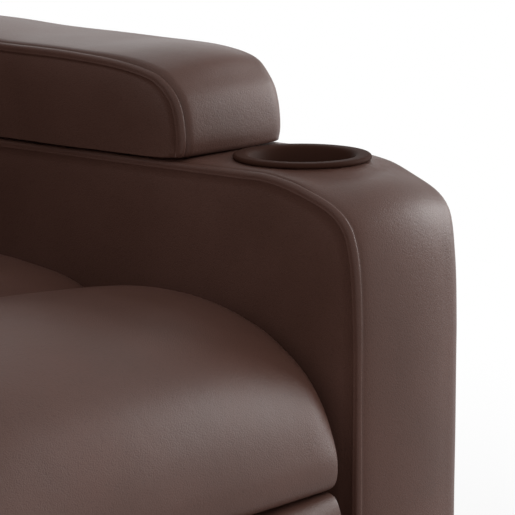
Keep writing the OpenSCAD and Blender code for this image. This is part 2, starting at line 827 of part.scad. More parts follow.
// Shaft across the chair with the lever that the leg rest's motor pushes
module leg_shaft() {
  color(steel) {
    pin(leg_pivot, leg_shaft_d, -drive_x, drive_x);
    lever_pair(leg_pivot, legrest_pin, 38);
  }
}

module leg_drive_bar(s) {
  color(steel) side(s) {
    plate(drive_x, drive_x + leg_t) {
      bar(leg_pivot, knee, leg_lug);
      bar(knee, tilt_foot, leg_lug);
      disc(leg_pivot, leg_shaft_d + 8);
    }
    pin(knee, leg_pin_d, leg_x + leg_pitch - 1, drive_x + 1);
    pin(tilt_foot, leg_pin_d, drive_x + leg_t - 1, tilt_x + leg_t + 1);
  }
}

// Bars from the drive bars' knee to the board
module leg_carrier_bars() {
  x0 = leg_x + leg_pitch;
  bore = leg_pin_d + 2 * run_gap;
  color(steel) for (s = [-1, 1]) side(s) {
    difference() {
      plate(x0, x0 + leg_t) {
        bar(knee, carrier_end, leg_lug);
        bar(knee, guide_tip, leg_lug);
      }
      for (p = [knee, carrier_end]) pin(p, bore, x0 - 1, x0 + leg_t + 1);
    }
    pin(guide_tip, leg_pin_d, leg_x - 1, x0 + 1);
  }
}

// Bars that turn the board; their far bores are wide, as open pivots
module leg_tilt_bars() {
  color(steel) for (s = [-1, 1]) side(s) difference() {
    plate(tilt_x, tilt_x + leg_t) bar(tilt_foot, tilt_end, leg_lug);
    pin(tilt_foot, leg_pin_d + 2 * run_gap, tilt_x - 1, tilt_x + leg_t + 1);
    pin(tilt_end, leg_pin_d + 2 * play_gap, tilt_x - 1, tilt_x + leg_t + 1);
  }
}

// Bars that guide the carriers; their far bores are wide, as open pivots
module leg_guide_bars() {
  color(steel) for (s = [-1, 1]) side(s) difference() {
    plate(leg_x, leg_x + leg_t) bar(guide_foot, guide_end, leg_lug);
    pin(guide_foot, leg_pin_d + 2 * run_gap, leg_x - 1, leg_x + leg_t + 1);
    pin(guide_end, leg_pin_d + 2 * play_gap, leg_x - 1, leg_x + leg_t + 1);
  }
}

legrest_back = front_y + legrest_t;
board_back = legrest_back + 0.3 + legrest_board_t;

module legrest_board() {
  x = inner - 15;
  color(wood)
    block([-x, legrest_back + 0.3, legrest_foot + 10], [x, board_back, legrest_top - 12]);
  color(steel) for (s = [-1, 1]) side(s) {
    plate(drive_x, drive_x + leg_t) {
      disc(carrier_end, leg_lug);
      disc(tilt_tip, leg_lug);
      polygon([
        [board_back - 1, carrier_end.y - 80], tilt_tip + [6, -9], tilt_tip + [5, 9.5],
        carrier_end + [4, 10], [board_back - 1, carrier_end.y + 4]
      ]);
    }
    pin(carrier_end, leg_pin_d, leg_x + leg_pitch - 1, drive_x + 1);
    pin(tilt_tip, leg_pin_d, drive_x + leg_t - 1, tilt_x + leg_t + 1);
  }
}

// Leg rest pad: a roll under the seat's seam and a longer pad below a sewn channel
module legrest_cushion() {
  f = front_y;
  t = legrest_top;
  b = legrest_foot;
  channel = b + 0.68 * (t - b);
  outline = smooth([
    [legrest_back + 1, b + 14], [legrest_back + 1, 0.5 * (t + b)], [legrest_back + 1, t - 12],
    [f + 42, t], [f + 16, t - 9], [f + 2, t - 34], [f + 3, channel + 18], [f + 14, channel],
    [f + 3, channel - 20], [f, 0.4 * t + 0.6 * b], [f + 4, b + 30], [f + 20, b + 5], [f + 45, b]
  ], 3);
  color(leather) cushion(outline, inner - soft_gap - 1, 0, 6, 14, 26, legrest_back, b, false);
}

module legrest_rod() {
  color(zinc) translate([0, legrest_head.x, legrest_head.y])
    rod_part(legrest_lever, legrest_half, legrest_start + 160);
}

// ================= handset, in the pocket on the sitter's right =================

button_x = handset_x - button_out;
button_y = handset_y + handset_size.y / 2;
button_zs = [handset_z + handset_size.z - 44, handset_z + handset_size.z - 20];

module button_pin(z, d, x0, x1) {
  pin([button_y, z], d, x0, x1);
}

module handset() {
  r = 11;
  depth = button_in + button_out + 0.5;
  color(plastic) difference() {
    plate(handset_x, handset_x + handset_size.x)
      round_rect([handset_y, handset_z], [handset_y + handset_size.y, handset_z + handset_size.z], r);
    for (z = button_zs) button_pin(z, button_d + 0.4, handset_x - 1, handset_x + depth);
  }
}

module button(z) {
  color(zinc) button_pin(z, button_d, button_x, handset_x + button_in);
}

base_rail(1);  // base_rail_left
base_rail(-1);  // base_rail_right
base_cross_tubes();
base_feet();
base_bracket(1);  // base_bracket_left
base_bracket(-1);  // base_bracket_right
lift_motor_stand();
lift_motor();
power_supply();
lift_arm(1);  // lift_arm_left
lift_arm(-1);  // lift_arm_right
lift_torque_tube();
lift_link(1);  // lift_link_left
lift_link(-1);  // lift_link_right
lift_rod();
chassis_plate(1);  // chassis_plate_left
chassis_plate(-1);  // chassis_plate_right
chassis_cross_tubes();
leg_plates();
seat_rail(1);  // seat_rail_left
seat_rail(-1);  // seat_rail_right
rear_rail();
seat_deck();
seat_cushion();
arm_frame(1);  // arm_frame_left
arm_frame(-1);  // arm_frame_right
arm_cover(1);  // arm_cover_left
arm_cover(-1);  // arm_cover_right
arm_pad(1);  // arm_pad_left
arm_pad(-1);  // arm_pad_right
cup_holder(1);  // cup_holder_left
cup_holder(-1);  // cup_holder_right
side_pocket(1);  // side_pocket_left
side_pocket(-1);  // side_pocket_right
rear_panel();
recline_motor();
legrest_motor();
back_hinge_bar();
back_posts();
back_rails();
back_shell();
pillow_lower();
pillow_middle();
pillow_head();
wing(1);  // wing_left
wing(-1);  // wing_right
recline_rod();
leg_shaft();
leg_drive_bar(1);  // leg_drive_left
leg_drive_bar(-1);  // leg_drive_right
leg_carrier_bars();
leg_tilt_bars();
leg_guide_bars();
legrest_board();
legrest_cushion();
legrest_rod();
handset();
button(button_zs[1]);  // button_up
button(button_zs[0]);  // button_down
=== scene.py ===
import json
import math

import bpy
import bmesh
import numpy as np
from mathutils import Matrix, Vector, noise


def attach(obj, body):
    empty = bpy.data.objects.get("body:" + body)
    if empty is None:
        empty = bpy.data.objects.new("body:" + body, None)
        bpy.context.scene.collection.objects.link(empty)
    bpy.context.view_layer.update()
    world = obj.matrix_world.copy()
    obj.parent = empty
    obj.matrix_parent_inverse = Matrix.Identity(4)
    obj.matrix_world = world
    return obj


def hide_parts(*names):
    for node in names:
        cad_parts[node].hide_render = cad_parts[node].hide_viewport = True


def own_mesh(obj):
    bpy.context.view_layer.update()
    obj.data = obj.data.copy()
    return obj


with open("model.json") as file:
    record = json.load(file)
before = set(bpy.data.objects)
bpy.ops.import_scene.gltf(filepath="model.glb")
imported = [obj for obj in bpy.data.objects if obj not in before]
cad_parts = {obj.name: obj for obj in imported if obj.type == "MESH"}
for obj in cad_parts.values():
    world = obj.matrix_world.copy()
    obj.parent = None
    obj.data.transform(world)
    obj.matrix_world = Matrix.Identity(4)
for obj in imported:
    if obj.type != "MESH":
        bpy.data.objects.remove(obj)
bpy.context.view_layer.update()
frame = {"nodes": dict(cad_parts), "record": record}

# A powered lift recliner: upholstery, cup holders, handset and bolts over the frame's CAD solids.
# The front is -y, the chair's left is +x, and z is up. Sections and outlines are in (y, z).

# ---------------------------------------------------------------- sizes, in metres
mm = 0.001
FRONT = -0.46315
INNER, OUTER = 0.250, 0.400
ARM_TOP, ARM_FOOT, ARM_REAR = 0.590, 0.045, FRONT + 0.810
NOSE_L, NOSE_H = 0.110, 0.140
PAD_FOOT = ARM_TOP + 0.0004
CUP = (0.325, FRONT + 0.126)
CUP_CUT, CUP_CUT_FOOT, CUP_CUT_TOP = 0.0530, 0.505, 0.64
HINGE = (0.151852, 0.330)
LEAN = math.radians(15)
SEAT_FOOT, SEAT_REAR = 0.3223, FRONT + 0.570
PILLOW_BACK, PILLOW_D = -0.017, 0.100
WING_FOOT, WING_TOP = 0.447, 0.707
BACK_H, SHELL_D, SHELL_FOOT = 0.715, 0.140, 0.060
SHELL_HALF, SHELL_WIDE = 0.246, 0.285
SEAT_HALF, SEAT_ROUND = 0.2475, 0.036
LEG_HALF, LEG_ROUND = 0.2440, 0.026
PILLOW_HALF, HEAD_HALF, WING_HALF, WING_MID = 0.244, 0.2125, 0.0352, 0.250
POCKET = dict(y0=FRONT + 0.225, y1=FRONT + 0.435, z0=0.330, z1=0.470, t=0.034)


# ---------------------------------------------------------------- mesh helpers
def link(name, mesh):
    ob = bpy.data.objects.new(name, mesh)
    bpy.context.scene.collection.objects.link(ob)
    return ob


def mesh_object(name, verts, faces):
    me = bpy.data.meshes.new(name)
    me.from_pydata([tuple(v) for v in verts], [], faces)
    me.update()
    me.polygons.foreach_set("use_smooth", [True] * len(me.polygons))
    return link(name, me)


def ring_faces(m, n, caps=True):
    """Faces between m rings of n points, and fans to the two middle points that follow them."""
    f = [(k * n + i, k * n + (i + 1) % n, (k + 1) * n + (i + 1) % n, (k + 1) * n + i)
         for k in range(m - 1) for i in range(n)]
    if caps:
        f += [(m * n, (i + 1) % n, i) for i in range(n)]
        f += [(m * n + 1, (m - 1) * n + i, (m - 1) * n + (i + 1) % n) for i in range(n)]
    return f


def outward(ob):
    """ob with every face turned outwards."""
    bm = bmesh.new()
    bm.from_mesh(ob.data)
    bmesh.ops.recalc_face_normals(bm, faces=bm.faces)
    bm.to_mesh(ob.data)
    bm.free()
    return ob


def smooth_curve(points, n, closed=True):
    """Catmull-Rom curve through the points, with n steps from each to the next."""
    p = np.asarray(points, float)
    if not closed:
        p = np.vstack([2 * p[0] - p[1], p, 2 * p[-1] - p[-2]])
    out = []
    m = len(p)
    spans = range(m) if closed else range(1, m - 2)
    for i in spans:
        a, b, c, d = p[(i - 1) % m], p[i], p[(i + 1) % m], p[(i + 2) % m]
        for k in range(n):
            t = k / n
            out.append(0.5 * (2 * b + (c - a) * t + (2 * a - 5 * b + 4 * c - d) * t * t
                              + (3 * b - a - 3 * c + d) * t ** 3))
    if not closed:
        out.append(p[-2])
    return np.array(out)


def resample(p, step, closed=True):
    """The same path with points about step apart."""
    q = np.vstack([p, p[:1]]) if closed else np.asarray(p)
    s = np.concatenate([[0], np.cumsum(np.linalg.norm(np.diff(q, axis=0), axis=1))])
    n = max(8, int(round(s[-1] / step)))
    t = np.linspace(0, s[-1], n + 1)
    r = np.column_stack([np.interp(t, s, q[:, k]) for k in range(q.shape[1])])
    return r[:-1] if closed else r


def corners(points):
    """A closed path of (y, z, radius) corners, with arcs."""
    p = [np.array(c[:2], float) for c in points]
    out = []
    for i, c in enumerate(points):
        r = c[2] if len(c) > 2 else 0
        if r == 0:
            out.append(p[i])
            continue
        a, b, d = p[i - 1], p[i], p[(i + 1) % len(p)]
        u, v = (a - b) / np.linalg.norm(a - b), (d - b) / np.linalg.norm(d - b)
        half = math.acos(np.clip(u @ v, -1, 1)) / 2
        back = r / math.tan(half)
        mid = b + (u + v) / np.linalg.norm(u + v) * r / math.sin(half)
        s, e = b + u * back - mid, b + v * back - mid
        turn = math.atan2(s[0] * e[1] - s[1] * e[0], s @ e)
        for k in range(9):
            w = turn * k / 8
            out.append(mid + np.array([s[0] * math.cos(w) - s[1] * math.sin(w),
                                       s[0] * math.sin(w) + s[1] * math.cos(w)]))
    return np.array(out)


def edge_distance(p, o):
    """How far each point of p is from the path o."""
    a, d = o[:-1], np.diff(o, axis=0)
    t = np.clip(((p[:, None] - a) * d).sum(2) / (d * d).sum(1), 0, 1)
    return np.linalg.norm(p[:, None] - a - d * t[:, :, None], axis=2).min(1)


def loft(name, outline, sections, centre, to_chair=None, reach=None):
    """A closed form: the YZ outline (anticlockwise) carried along X. Each section is (x, inset) or
    (x, inset, share), where share draws it in towards the centre. x and inset may be one number per
    outline point, and x may be a function of the section's points and the outline. The two ends are closed
    at their middles. With reach, the inset shrinks the outline about the centre by that much in a half-width
    of reach[0] and a height of reach[1]. to_chair maps the points to the chair's frame."""
    o = np.asarray(outline, float)
    n = len(o)
    t = np.roll(o, -1, 0) - np.roll(o, 1, 0)
    nrm = np.column_stack([t[:, 1], -t[:, 0]]) / np.linalg.norm(t, axis=1)[:, None]
    c = np.array(centre)
    support = np.maximum(((o - c) * nrm).sum(1), 0.01)
    rings = []
    for sec in sections:
        share = sec[2] if len(sec) > 2 else 1
        if reach is None:
            k = np.broadcast_to(np.clip(1 - np.asarray(sec[1]) / support, 0.03, 2), n)[:, None]
        else:
            k = 1 - np.column_stack([np.broadcast_to(sec[1], n) / q for q in reach])
        yz = c + (o - c) * k * share
        x = sec[0](yz, o) if callable(sec[0]) else np.broadcast_to(sec[0], n)
        rings.append(np.column_stack([x, yz]))
    v = np.vstack(rings + [rings[0].mean(0), rings[-1].mean(0)])
    return outward(mesh_object(name, v if to_chair is None else to_chair(v), ring_faces(len(sections), n)))


def both_sides(sections):
    """Sections from one end to the middle, carried on to the other end as their mirror image."""
    return [(-q[0], *q[1:]) for q in sections] + sections[-2::-1]


def point_data(mesh, key):
    out = np.empty(len(mesh.vertices) * 3)
    mesh.vertices.foreach_get(key, out)
    return out.reshape(-1, 3)


def coords(ob):
    return point_data(ob.data, "co")


def set_coords(ob, co):
    ob.data.vertices.foreach_set("co", np.ascontiguousarray(co).ravel())
    ob.data.update()


def mirrored(ob, name):
    """A copy of ob on the other side, with its faces turned the right way."""
    me = ob.data.copy()
    me.name = name
    me.vertices.foreach_set("co", (coords(ob) * (-1, 1, 1)).ravel())
    me.flip_normals()
    me.update()
    return link(name, me)


def baked(ob):
    """ob with its modifiers applied."""
    dg = bpy.context.evaluated_depsgraph_get()
    me = bpy.data.meshes.new_from_object(ob.evaluated_get(dg))
    ob.modifiers.clear()
    ob.data = me
    me.polygons.foreach_set("use_smooth", [True] * len(me.polygons))
    return ob


def on_back(co):
    """From the back's own frame (x, u to the rear, v up the leaning back) to the chair's frame."""
    c, s = math.cos(LEAN), math.sin(LEAN)
    return np.column_stack([co[:, 0], HINGE[0] + co[:, 1] * c + co[:, 2] * s,
                            HINGE[1] - co[:, 1] * s + co[:, 2] * c])


def wave(ob, size, scale, seed):
    """Gentle unevenness along the normals, as real upholstery has."""
    co, no = coords(ob), point_data(ob.data, "normal")
    d = np.array([noise.noise(Vector(p / scale + seed)) for p in co])
    set_coords(ob, co + no * (d * size)[:, None])
    return ob


def ease(x, a, b):
    """0 up to a, 1 from b on, and a smooth step between."""
    t = np.clip((np.asarray(x, float) - a) / (b - a), 0, 1)
    return t * t * (3 - 2 * t)


# ---------------------------------------------------------------- materials
def material(name, colour, roughness, metallic=0.0):
    mat = bpy.data.materials.new(name)
    mat.use_nodes = True
    nt = mat.node_tree
    p = nt.nodes["Principled BSDF"]
    p.inputs["Base Color"].default_value = (*colour, 1)
    p.inputs["Roughness"].default_value = roughness
    p.inputs["Metallic"].default_value = metallic
    return mat, nt, p


def node(nt, kind, **inputs):
    """A new node with its inputs set, by name or as i and their number."""
    n = nt.nodes.new(kind)
    for k, v in inputs.items():
        key = int(k[1:]) if k[0] == "i" and k[1:].isdigit() else k.replace("_", " ")
        n.inputs[key].default_value = v
    return n


def ramp(nt, source, stops):
    """A colour ramp on source; stops are (position, colour)."""
    r = nt.nodes.new("ShaderNodeValToRGB")
    el = r.color_ramp.elements
    while len(el) < len(stops):
        el.new(0.5)
    for e, (pos, col) in zip(el, stops):
        e.position = pos
        e.color = (*col, 1)
    nt.links.new(source, r.inputs["Fac"])
    return r.outputs["Color"]


def srgb(r, g, b):
    """The linear colour of 0 to 255 display values."""
    return tuple((c / 255 / 12.92) if c <= 10 else ((c / 255 + 0.055) / 1.055) ** 2.4 for c in (r, g, b))


def leather_material(name, base, dark, light, roughness=0.45, grain=0.28, gloss=0.21):
    """Satin leather: cloudy colour, pebbled grain and soft wrinkles."""
    mat, nt, p = material(name, base, roughness)
    L = nt.links.new
    at = nt.nodes.new("ShaderNodeTexCoord").outputs["Object"]
    cloud = node(nt, "ShaderNodeTexNoise", Scale=9.0, Detail=4.0, Roughness=0.55)
    L(at, cloud.inputs["Vector"])
    colour = ramp(nt, cloud.outputs["Fac"], [(0.30, dark), (0.52, base), (0.74, light)])
    # pebbles, about 1.2 mm, and the fine creases between them
    warp = node(nt, "ShaderNodeTexNoise", Scale=260.0, Detail=2.0)
    L(at, warp.inputs["Vector"])
    shift = nt.nodes.new("ShaderNodeMixRGB")
    shift.blend_type = "LINEAR_LIGHT"
    shift.inputs["Fac"].default_value = 0.0012
    L(at, shift.inputs["Color1"])
    L(warp.outputs["Color"], shift.inputs["Color2"])
    cells = node(nt, "ShaderNodeTexVoronoi", Scale=820.0)
    cells.feature = "SMOOTH_F1"
    cells.inputs["Smoothness"].default_value = 0.35
    L(shift.outputs["Color"], cells.inputs["Vector"])
    fine = node(nt, "ShaderNodeTexNoise", Scale=1600.0, Detail=2.0)
    L(at, fine.inputs["Vector"])
    pores = nt.nodes.new("ShaderNodeMixRGB")
    pores.inputs["Fac"].default_value = 0.25
    L(cells.outputs["Distance"], pores.inputs["Color1"])
    L(fine.outputs["Fac"], pores.inputs["Color2"])
    # soft wrinkles of a few millimetres
    folds = node(nt, "ShaderNodeTexNoise", Scale=55.0, Detail=3.0, Roughness=0.5)
    L(at, folds.inputs["Vector"])
    b1 = node(nt, "ShaderNodeBump", Strength=0.05, Distance=0.004)
    L(folds.outputs["Fac"], b1.inputs["Height"])
    b2 = node(nt, "ShaderNodeBump", Strength=grain, Distance=0.0006)
    b2.invert = True
    L(pores.outputs["Color"], b2.inputs["Height"])
    L(b1.outputs["Normal"], b2.inputs["Normal"])
    L(b2.outputs["Normal"], p.inputs["Normal"])
    # the creases between the pebbles are painted a little darker than their tops: painted shade in the grain
    painted_crease_shade = ramp(nt, cells.outputs["Distance"],
               [(0.0, (1, 1, 1)), (0.55, (0.97, 0.97, 0.97)), (1.0, (0.80, 0.80, 0.80))])
    mul = nt.nodes.new("ShaderNodeMixRGB")
    mul.blend_type = "MULTIPLY"
    mul.inputs["Fac"].default_value = 1.0
    L(colour, mul.inputs["Color1"])
    L(painted_crease_shade, mul.inputs["Color2"])
    L(mul.outputs["Color"], p.inputs["Base Color"])
    rough = ramp(nt, cloud.outputs["Fac"], [(0.25, (roughness - 0.04,) * 3), (0.75, (roughness + 0.05,) * 3)])
    L(rough, p.inputs["Roughness"])
    p.inputs["Specular IOR Level"].default_value = gloss
    return mat


def softened(nt, p, height, strength, distance, edge):
    """Bump from height, over edges that look rounded."""
    bev = node(nt, "ShaderNodeBevel", Radius=edge)
    bev.samples = 3
    b = node(nt, "ShaderNodeBump", Strength=strength, Distance=distance)
    nt.links.new(height, b.inputs["Height"])
    nt.links.new(bev.outputs["Normal"], b.inputs["Normal"])
    nt.links.new(b.outputs["Normal"], p.inputs["Normal"])


def surface(name, colour, roughness, metallic=0.0, speck=0.12, bump=0.0, bump_scale=900.0, gloss=0.5):
    """A plain hard material with fine texture, colour speckle and softened edges."""
    mat, nt, p = material(name, colour, roughness, metallic)
    p.inputs["Specular IOR Level"].default_value = gloss
    L = nt.links.new
    at = nt.nodes.new("ShaderNodeTexCoord").outputs["Object"]
    n1 = node(nt, "ShaderNodeTexNoise", Scale=bump_scale, Detail=3.0)
    L(at, n1.inputs["Vector"])
    big = node(nt, "ShaderNodeTexNoise", Scale=14.0, Detail=4.0)
    L(at, big.inputs["Vector"])
    lo, hi = tuple(c * (1 - speck) for c in colour), tuple(min(1, c * (1 + speck)) for c in colour)
    L(ramp(nt, big.outputs["Fac"], [(0.3, lo), (0.7, hi)]), p.inputs["Base Color"])
    L(ramp(nt, big.outputs["Fac"], [(0.3, (roughness - 0.05,) * 3), (0.7, (roughness + 0.06,) * 3)]),
      p.inputs["Roughness"])
    softened(nt, p, n1.outputs["Fac"], bump, 0.0004, 0.0008)
    return mat


def wood_material():
    """Plain board with its grain along y."""
    mat, nt, p = material("plywood", srgb(178, 140, 96), 0.62)
    L = nt.links.new
    at = nt.nodes.new("ShaderNodeTexCoord").outputs["Object"]
    m = nt.nodes.new("ShaderNodeMapping")
    m.inputs["Scale"].default_value = (14, 1.6, 14)
    L(at, m.inputs["Vector"])
    g = node(nt, "ShaderNodeTexNoise", Scale=7.0, Detail=6.0, Roughness=0.62, Distortion=0.8)
    L(m.outputs["Vector"], g.inputs["Vector"])
    L(ramp(nt, g.outputs["Fac"], [(0.28, srgb(150, 110, 70)), (0.5, srgb(182, 144, 100)),
                                  (0.72, srgb(206, 172, 128))]), p.inputs["Base Color"])
    softened(nt, p, g.outputs["Fac"], 0.25, 0.0006, 0.001)
    return mat


LEATHER = leather_material("brown_leather", srgb(80, 54, 46), srgb(75, 50, 42), srgb(85, 58, 50))
STEEL = surface("black_steel", srgb(30, 30, 31), 0.42, bump=0.25, bump_scale=1500.0)
ZINC = surface("zinc_steel", srgb(168, 170, 172), 0.34, 1.0, bump=0.08, bump_scale=500.0)
WOOD = wood_material()
CUP_PLASTIC = surface("cup_plastic", srgb(50, 30, 23), 0.62, speck=0.05, bump=0.04, bump_scale=1200.0,
                      gloss=0.03)
BLACK_PLASTIC = surface("black_plastic", srgb(34, 34, 36), 0.48, bump=0.3, bump_scale=2200.0)
GREY_PLASTIC = surface("grey_plastic", srgb(96, 98, 100), 0.45, bump=0.15, bump_scale=2600.0)
ARROW_WHITE = surface("arrow_white", srgb(225, 225, 222), 0.5, speck=0.03, bump=0.1, bump_scale=2600.0)
RUBBER = surface("foot_rubber", srgb(24, 24, 24), 0.72, bump=0.3, bump_scale=1100.0)


def paint(ob, mat):
    ob.data.materials.clear()
    ob.data.materials.append(mat)
    return ob


def finish_piece(ob, body, mat, slot, *replaced):
    """Paints ob, and says which body it rides on and which CAD nodes it replaces."""
    paint(ob, mat)
    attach(ob, body)
    if replaced:
        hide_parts(*replaced)
    return ob


# ---------------------------------------------------------------- camera and light
CAMERA_PLACE, CAMERA_LENS = (-1.6933, -2.0014, 0.9884), 218.6
YAW, PITCH = math.radians(40.337), math.radians(10.48)
WORLD_LIGHT = 0.84
FLOOR_HALF, FLOOR_GREY = 60, 0.6
GLOW_NEAR, GLOW_FAR, GLOW_LEAST = 0.8, 2.2, 0.66

camera = bpy.data.objects.new("camera", bpy.data.cameras.new("camera"))
bpy.context.scene.collection.objects.link(camera)
bpy.context.scene.camera = camera
camera.data.sensor_width = 36
camera.data.lens = CAMERA_LENS
camera.data.clip_end = 200
camera.location = CAMERA_PLACE
sight = Vector((math.cos(YAW) * math.cos(PITCH), math.sin(YAW) * math.cos(PITCH), -math.sin(PITCH)))
camera.rotation_euler = sight.to_track_quat("-Z", "Y").to_euler()


def area(name, place, target, size, power):
    """A soft lamp of size metres and power watts."""
    lamp = bpy.data.lights.new(name, "AREA")
    lamp.shape = "RECTANGLE"
    lamp.size, lamp.size_y = size
    lamp.energy = power
    ob = bpy.data.objects.new(name, lamp)
    bpy.context.scene.collection.objects.link(ob)
    ob.location = place
    ob.rotation_euler = (Vector(target) - Vector(place)).to_track_quat("-Z", "Y").to_euler()
    ob.visible_camera = False
    return ob


area("side", (2.9, -1.15, 1.28), (0.1, -0.1, 0.45), (1.4, 1.4), 61)
area("front", (1.7, -3.0, 0.65), (0.1, -0.1, 0.45), (1.6, 1.0), 8)
area("rear", (2.4, 2.4, 1.8), (0, 0, 0.5), (2.4, 2.0), 8)


def background_rays(nt):
    """1 for the rays that show the background: seen, mirrored or refracted ones."""
    path = nt.nodes.new("ShaderNodeLightPath")
    shown = path.outputs["Is Camera Ray"]
    for kind in ("Is Glossy Ray", "Is Transmission Ray"):
        either = nt.nodes.new("ShaderNodeMath")
        either.operation = "MAXIMUM"
        nt.links.new(shown, either.inputs[0])
        nt.links.new(path.outputs[kind], either.inputs[1])
        shown = either.outputs[0]
    return shown


world = bpy.data.worlds.new("studio")
bpy.context.scene.world = world
world.use_nodes = True
wn = world.node_tree
wn.nodes.clear()
w_out = wn.nodes.new("ShaderNodeOutputWorld")
w_mix = wn.nodes.new("ShaderNodeMixShader")
w_light = node(wn, "ShaderNodeBackground", Color=(1, 1, 1, 1), Strength=WORLD_LIGHT)
w_seen = node(wn, "ShaderNodeBackground", Color=(1, 1, 1, 1), Strength=1.0)
wn.links.new(background_rays(wn), w_mix.inputs["Fac"])
wn.links.new(w_light.outputs[0], w_mix.inputs[1])
wn.links.new(w_seen.outputs[0], w_mix.inputs[2])
wn.links.new(w_mix.outputs[0], w_out.inputs["Surface"])

floor = mesh_object("floor", [(-FLOOR_HALF, -FLOOR_HALF, 0), (FLOOR_HALF, -FLOOR_HALF, 0),
                              (FLOOR_HALF, FLOOR_HALF, 0), (-FLOOR_HALF, FLOOR_HALF, 0)], [(0, 1, 2, 3)])
fmat, fnt, fp = material("floor_white", (FLOOR_GREY,) * 3, 0.9)
f_mix = fnt.nodes.new("ShaderNodeMixShader")
f_glow = node(fnt, "ShaderNodeEmission", Color=(1, 1, 1, 1), Strength=1.0)
f_place = fnt.nodes.new("ShaderNodeTexCoord")
f_far = fnt.nodes.new("ShaderNodeVectorMath")
f_far.operation = "LENGTH"
# the share of glow is least near the chair, where its shadow falls, and 1 from GLOW_FAR on
f_range = node(fnt, "ShaderNodeMapRange", i1=GLOW_NEAR, i2=GLOW_FAR, i3=GLOW_LEAST, i4=1.0)
f_range.interpolation_type = "SMOOTHSTEP"
f_share = fnt.nodes.new("ShaderNodeMath")
f_share.operation = "MULTIPLY"
fnt.links.new(f_place.outputs["Object"], f_far.inputs[0])
fnt.links.new(f_far.outputs["Value"], f_range.inputs["Value"])
fnt.links.new(f_range.outputs["Result"], f_share.inputs[1])
fnt.links.new(background_rays(fnt), f_share.inputs[0])
fnt.links.new(f_share.outputs[0], f_mix.inputs["Fac"])
fnt.links.new(fp.outputs[0], f_mix.inputs[1])
fnt.links.new(f_glow.outputs[0], f_mix.inputs[2])
fnt.links.new(f_mix.outputs[0], fnt.nodes["Material Output"].inputs["Surface"])
floor.data.materials.append(fmat)
bpy.context.scene.view_settings.view_transform = "Standard"

# ---------------------------------------------------------------- stuffing
PRESSURE, STIFFNESS, FRAMES = 4.0, 18, 16
stuffed = []


def stuff(ob, pinned, cap, spare=0.0):
    """Marks ob to be filled by the cloth simulation. pinned is 0 to 1 for each point, cap the furthest that
    a point may move, and spare the share by which the cloth may grow."""
    stuffed.append((ob, np.clip(pinned, 0, 1), cap, spare))


def simulate():
    """Runs the cloth of every marked piece together, and keeps the shapes."""
    scene = bpy.context.scene
    for ob, pinned, cap, spare in stuffed:
        group = ob.vertex_groups.new(name="pin")
        for i in np.nonzero(pinned > 0.02)[0]:
            group.add([int(i)], float(pinned[i]), "REPLACE")
        mod = ob.modifiers.new("cloth", "CLOTH")
        st = mod.settings
        st.quality = 6
        st.mass = 0.35
        st.tension_stiffness = STIFFNESS
        st.compression_stiffness = STIFFNESS
        st.shear_stiffness = 6
        st.bending_stiffness = 6.0
        st.use_pressure = True
        st.uniform_pressure_force = PRESSURE
        st.effector_weights.gravity = 0
        st.shrink_min = -spare
        st.vertex_group_mass = "pin"
        st.pin_stiffness = 1.0
        mod.collision_settings.use_collision = False
        mod.point_cache.frame_start = 1
        mod.point_cache.frame_end = FRAMES
    for f in range(1, FRAMES + 1):
        scene.frame_set(f)
    dg = bpy.context.evaluated_depsgraph_get()
    for ob, pinned, cap, spare in stuffed:
        before = coords(ob)
        move = point_data(ob.evaluated_get(dg).to_mesh(), "co") - before
        ob.evaluated_get(dg).to_mesh_clear()
        ob.modifiers.clear()
        ob.vertex_groups.clear()
        far = np.linalg.norm(move, axis=1)
        keep = cap * np.tanh(far / cap) / np.maximum(far, 1e-9)
        set_coords(ob, before + move * keep[:, None])
    scene.frame_set(1)


def subdivided(ob):
    """ob with each face parted in four and smoothed."""
    m = ob.modifiers.new("sub", "SUBSURF")
    m.levels = m.render_levels = 1
    return baked(ob)


# ---------------------------------------------------------------- lapped seam
# the band's section: how far behind the panel's plane, and in from the outline, in mm; the panel starts where
# the band ends, SEAM_IN from the outline, and its curve begins SEAM_FLAT from it
SEAM_IN, SEAM_FLAT = 10.5 * mm, 9 * mm
SEAM_BAND = ((2.4, 9.6), (2.5, 9.0), (2.7, 8.3), (2.8, 7.5), (2.8, 6.6), (3.0, 5.6), (3.5, 4.6),
             (4.2, 3.8), (5.2, 3.2), (6.2, 2.9), (7.0, 3.0), (7.7, 3.5), (8.4, 4.6))
PANEL_SHARES = (0.1, 0.3, 0.5, 0.68, 0.8, 0.88, 0.94, 0.975)


def seam_edge(x_out, depth=0.0, fall=0.028, bulge=4.2, low=None):
    """Sections of the side panel that faces -x, from its middle outwards: the panel rounds to the seam,
    then comes the flat band of a lapped seam between two creases. Below low there is no seam."""
    def panel(yz, o):
        e = edge_distance(yz, o if low is None else o[o[:, 1] > low])
        return x_out + (bulge * np.exp(-np.maximum(e - depth - SEAM_FLAT, 0) / fall) - 1.0) * mm

    rows = [(panel, SEAM_IN + depth, k) for k in PANEL_SHARES] + [(panel, SEAM_IN + depth)]
    return rows + [(x_out + x * mm, e * mm + depth) for x, e in SEAM_BAND]


# ---------------------------------------------------------------- arms
# the front curve, as shares of its length and height; the first and last points only steer its ends
NOSE = [(1.4, 0), (1, 0), (0.65, 0.042), (0.35, 0.110), (0.160, 0.215), (0.068, 0.360), (0.021, 0.595),
        (0, 1), (0, 1.4)]
nose = smooth_curve(NOSE, 6, closed=False)
nose = nose[(nose[:, 0] <= 1.0001) & (nose[:, 1] <= 1.0001)]
nose_yz = np.column_stack([FRONT + NOSE_L * nose[:, 0], ARM_TOP - NOSE_H * nose[:, 1]])
arm_line = resample(corners([(FRONT, ARM_FOOT, 0.012), (ARM_REAR, ARM_FOOT, 0.014), (ARM_REAR, ARM_TOP, 0.030)]
                            + [(y, z) for y, z in nose_yz]), 0.006)


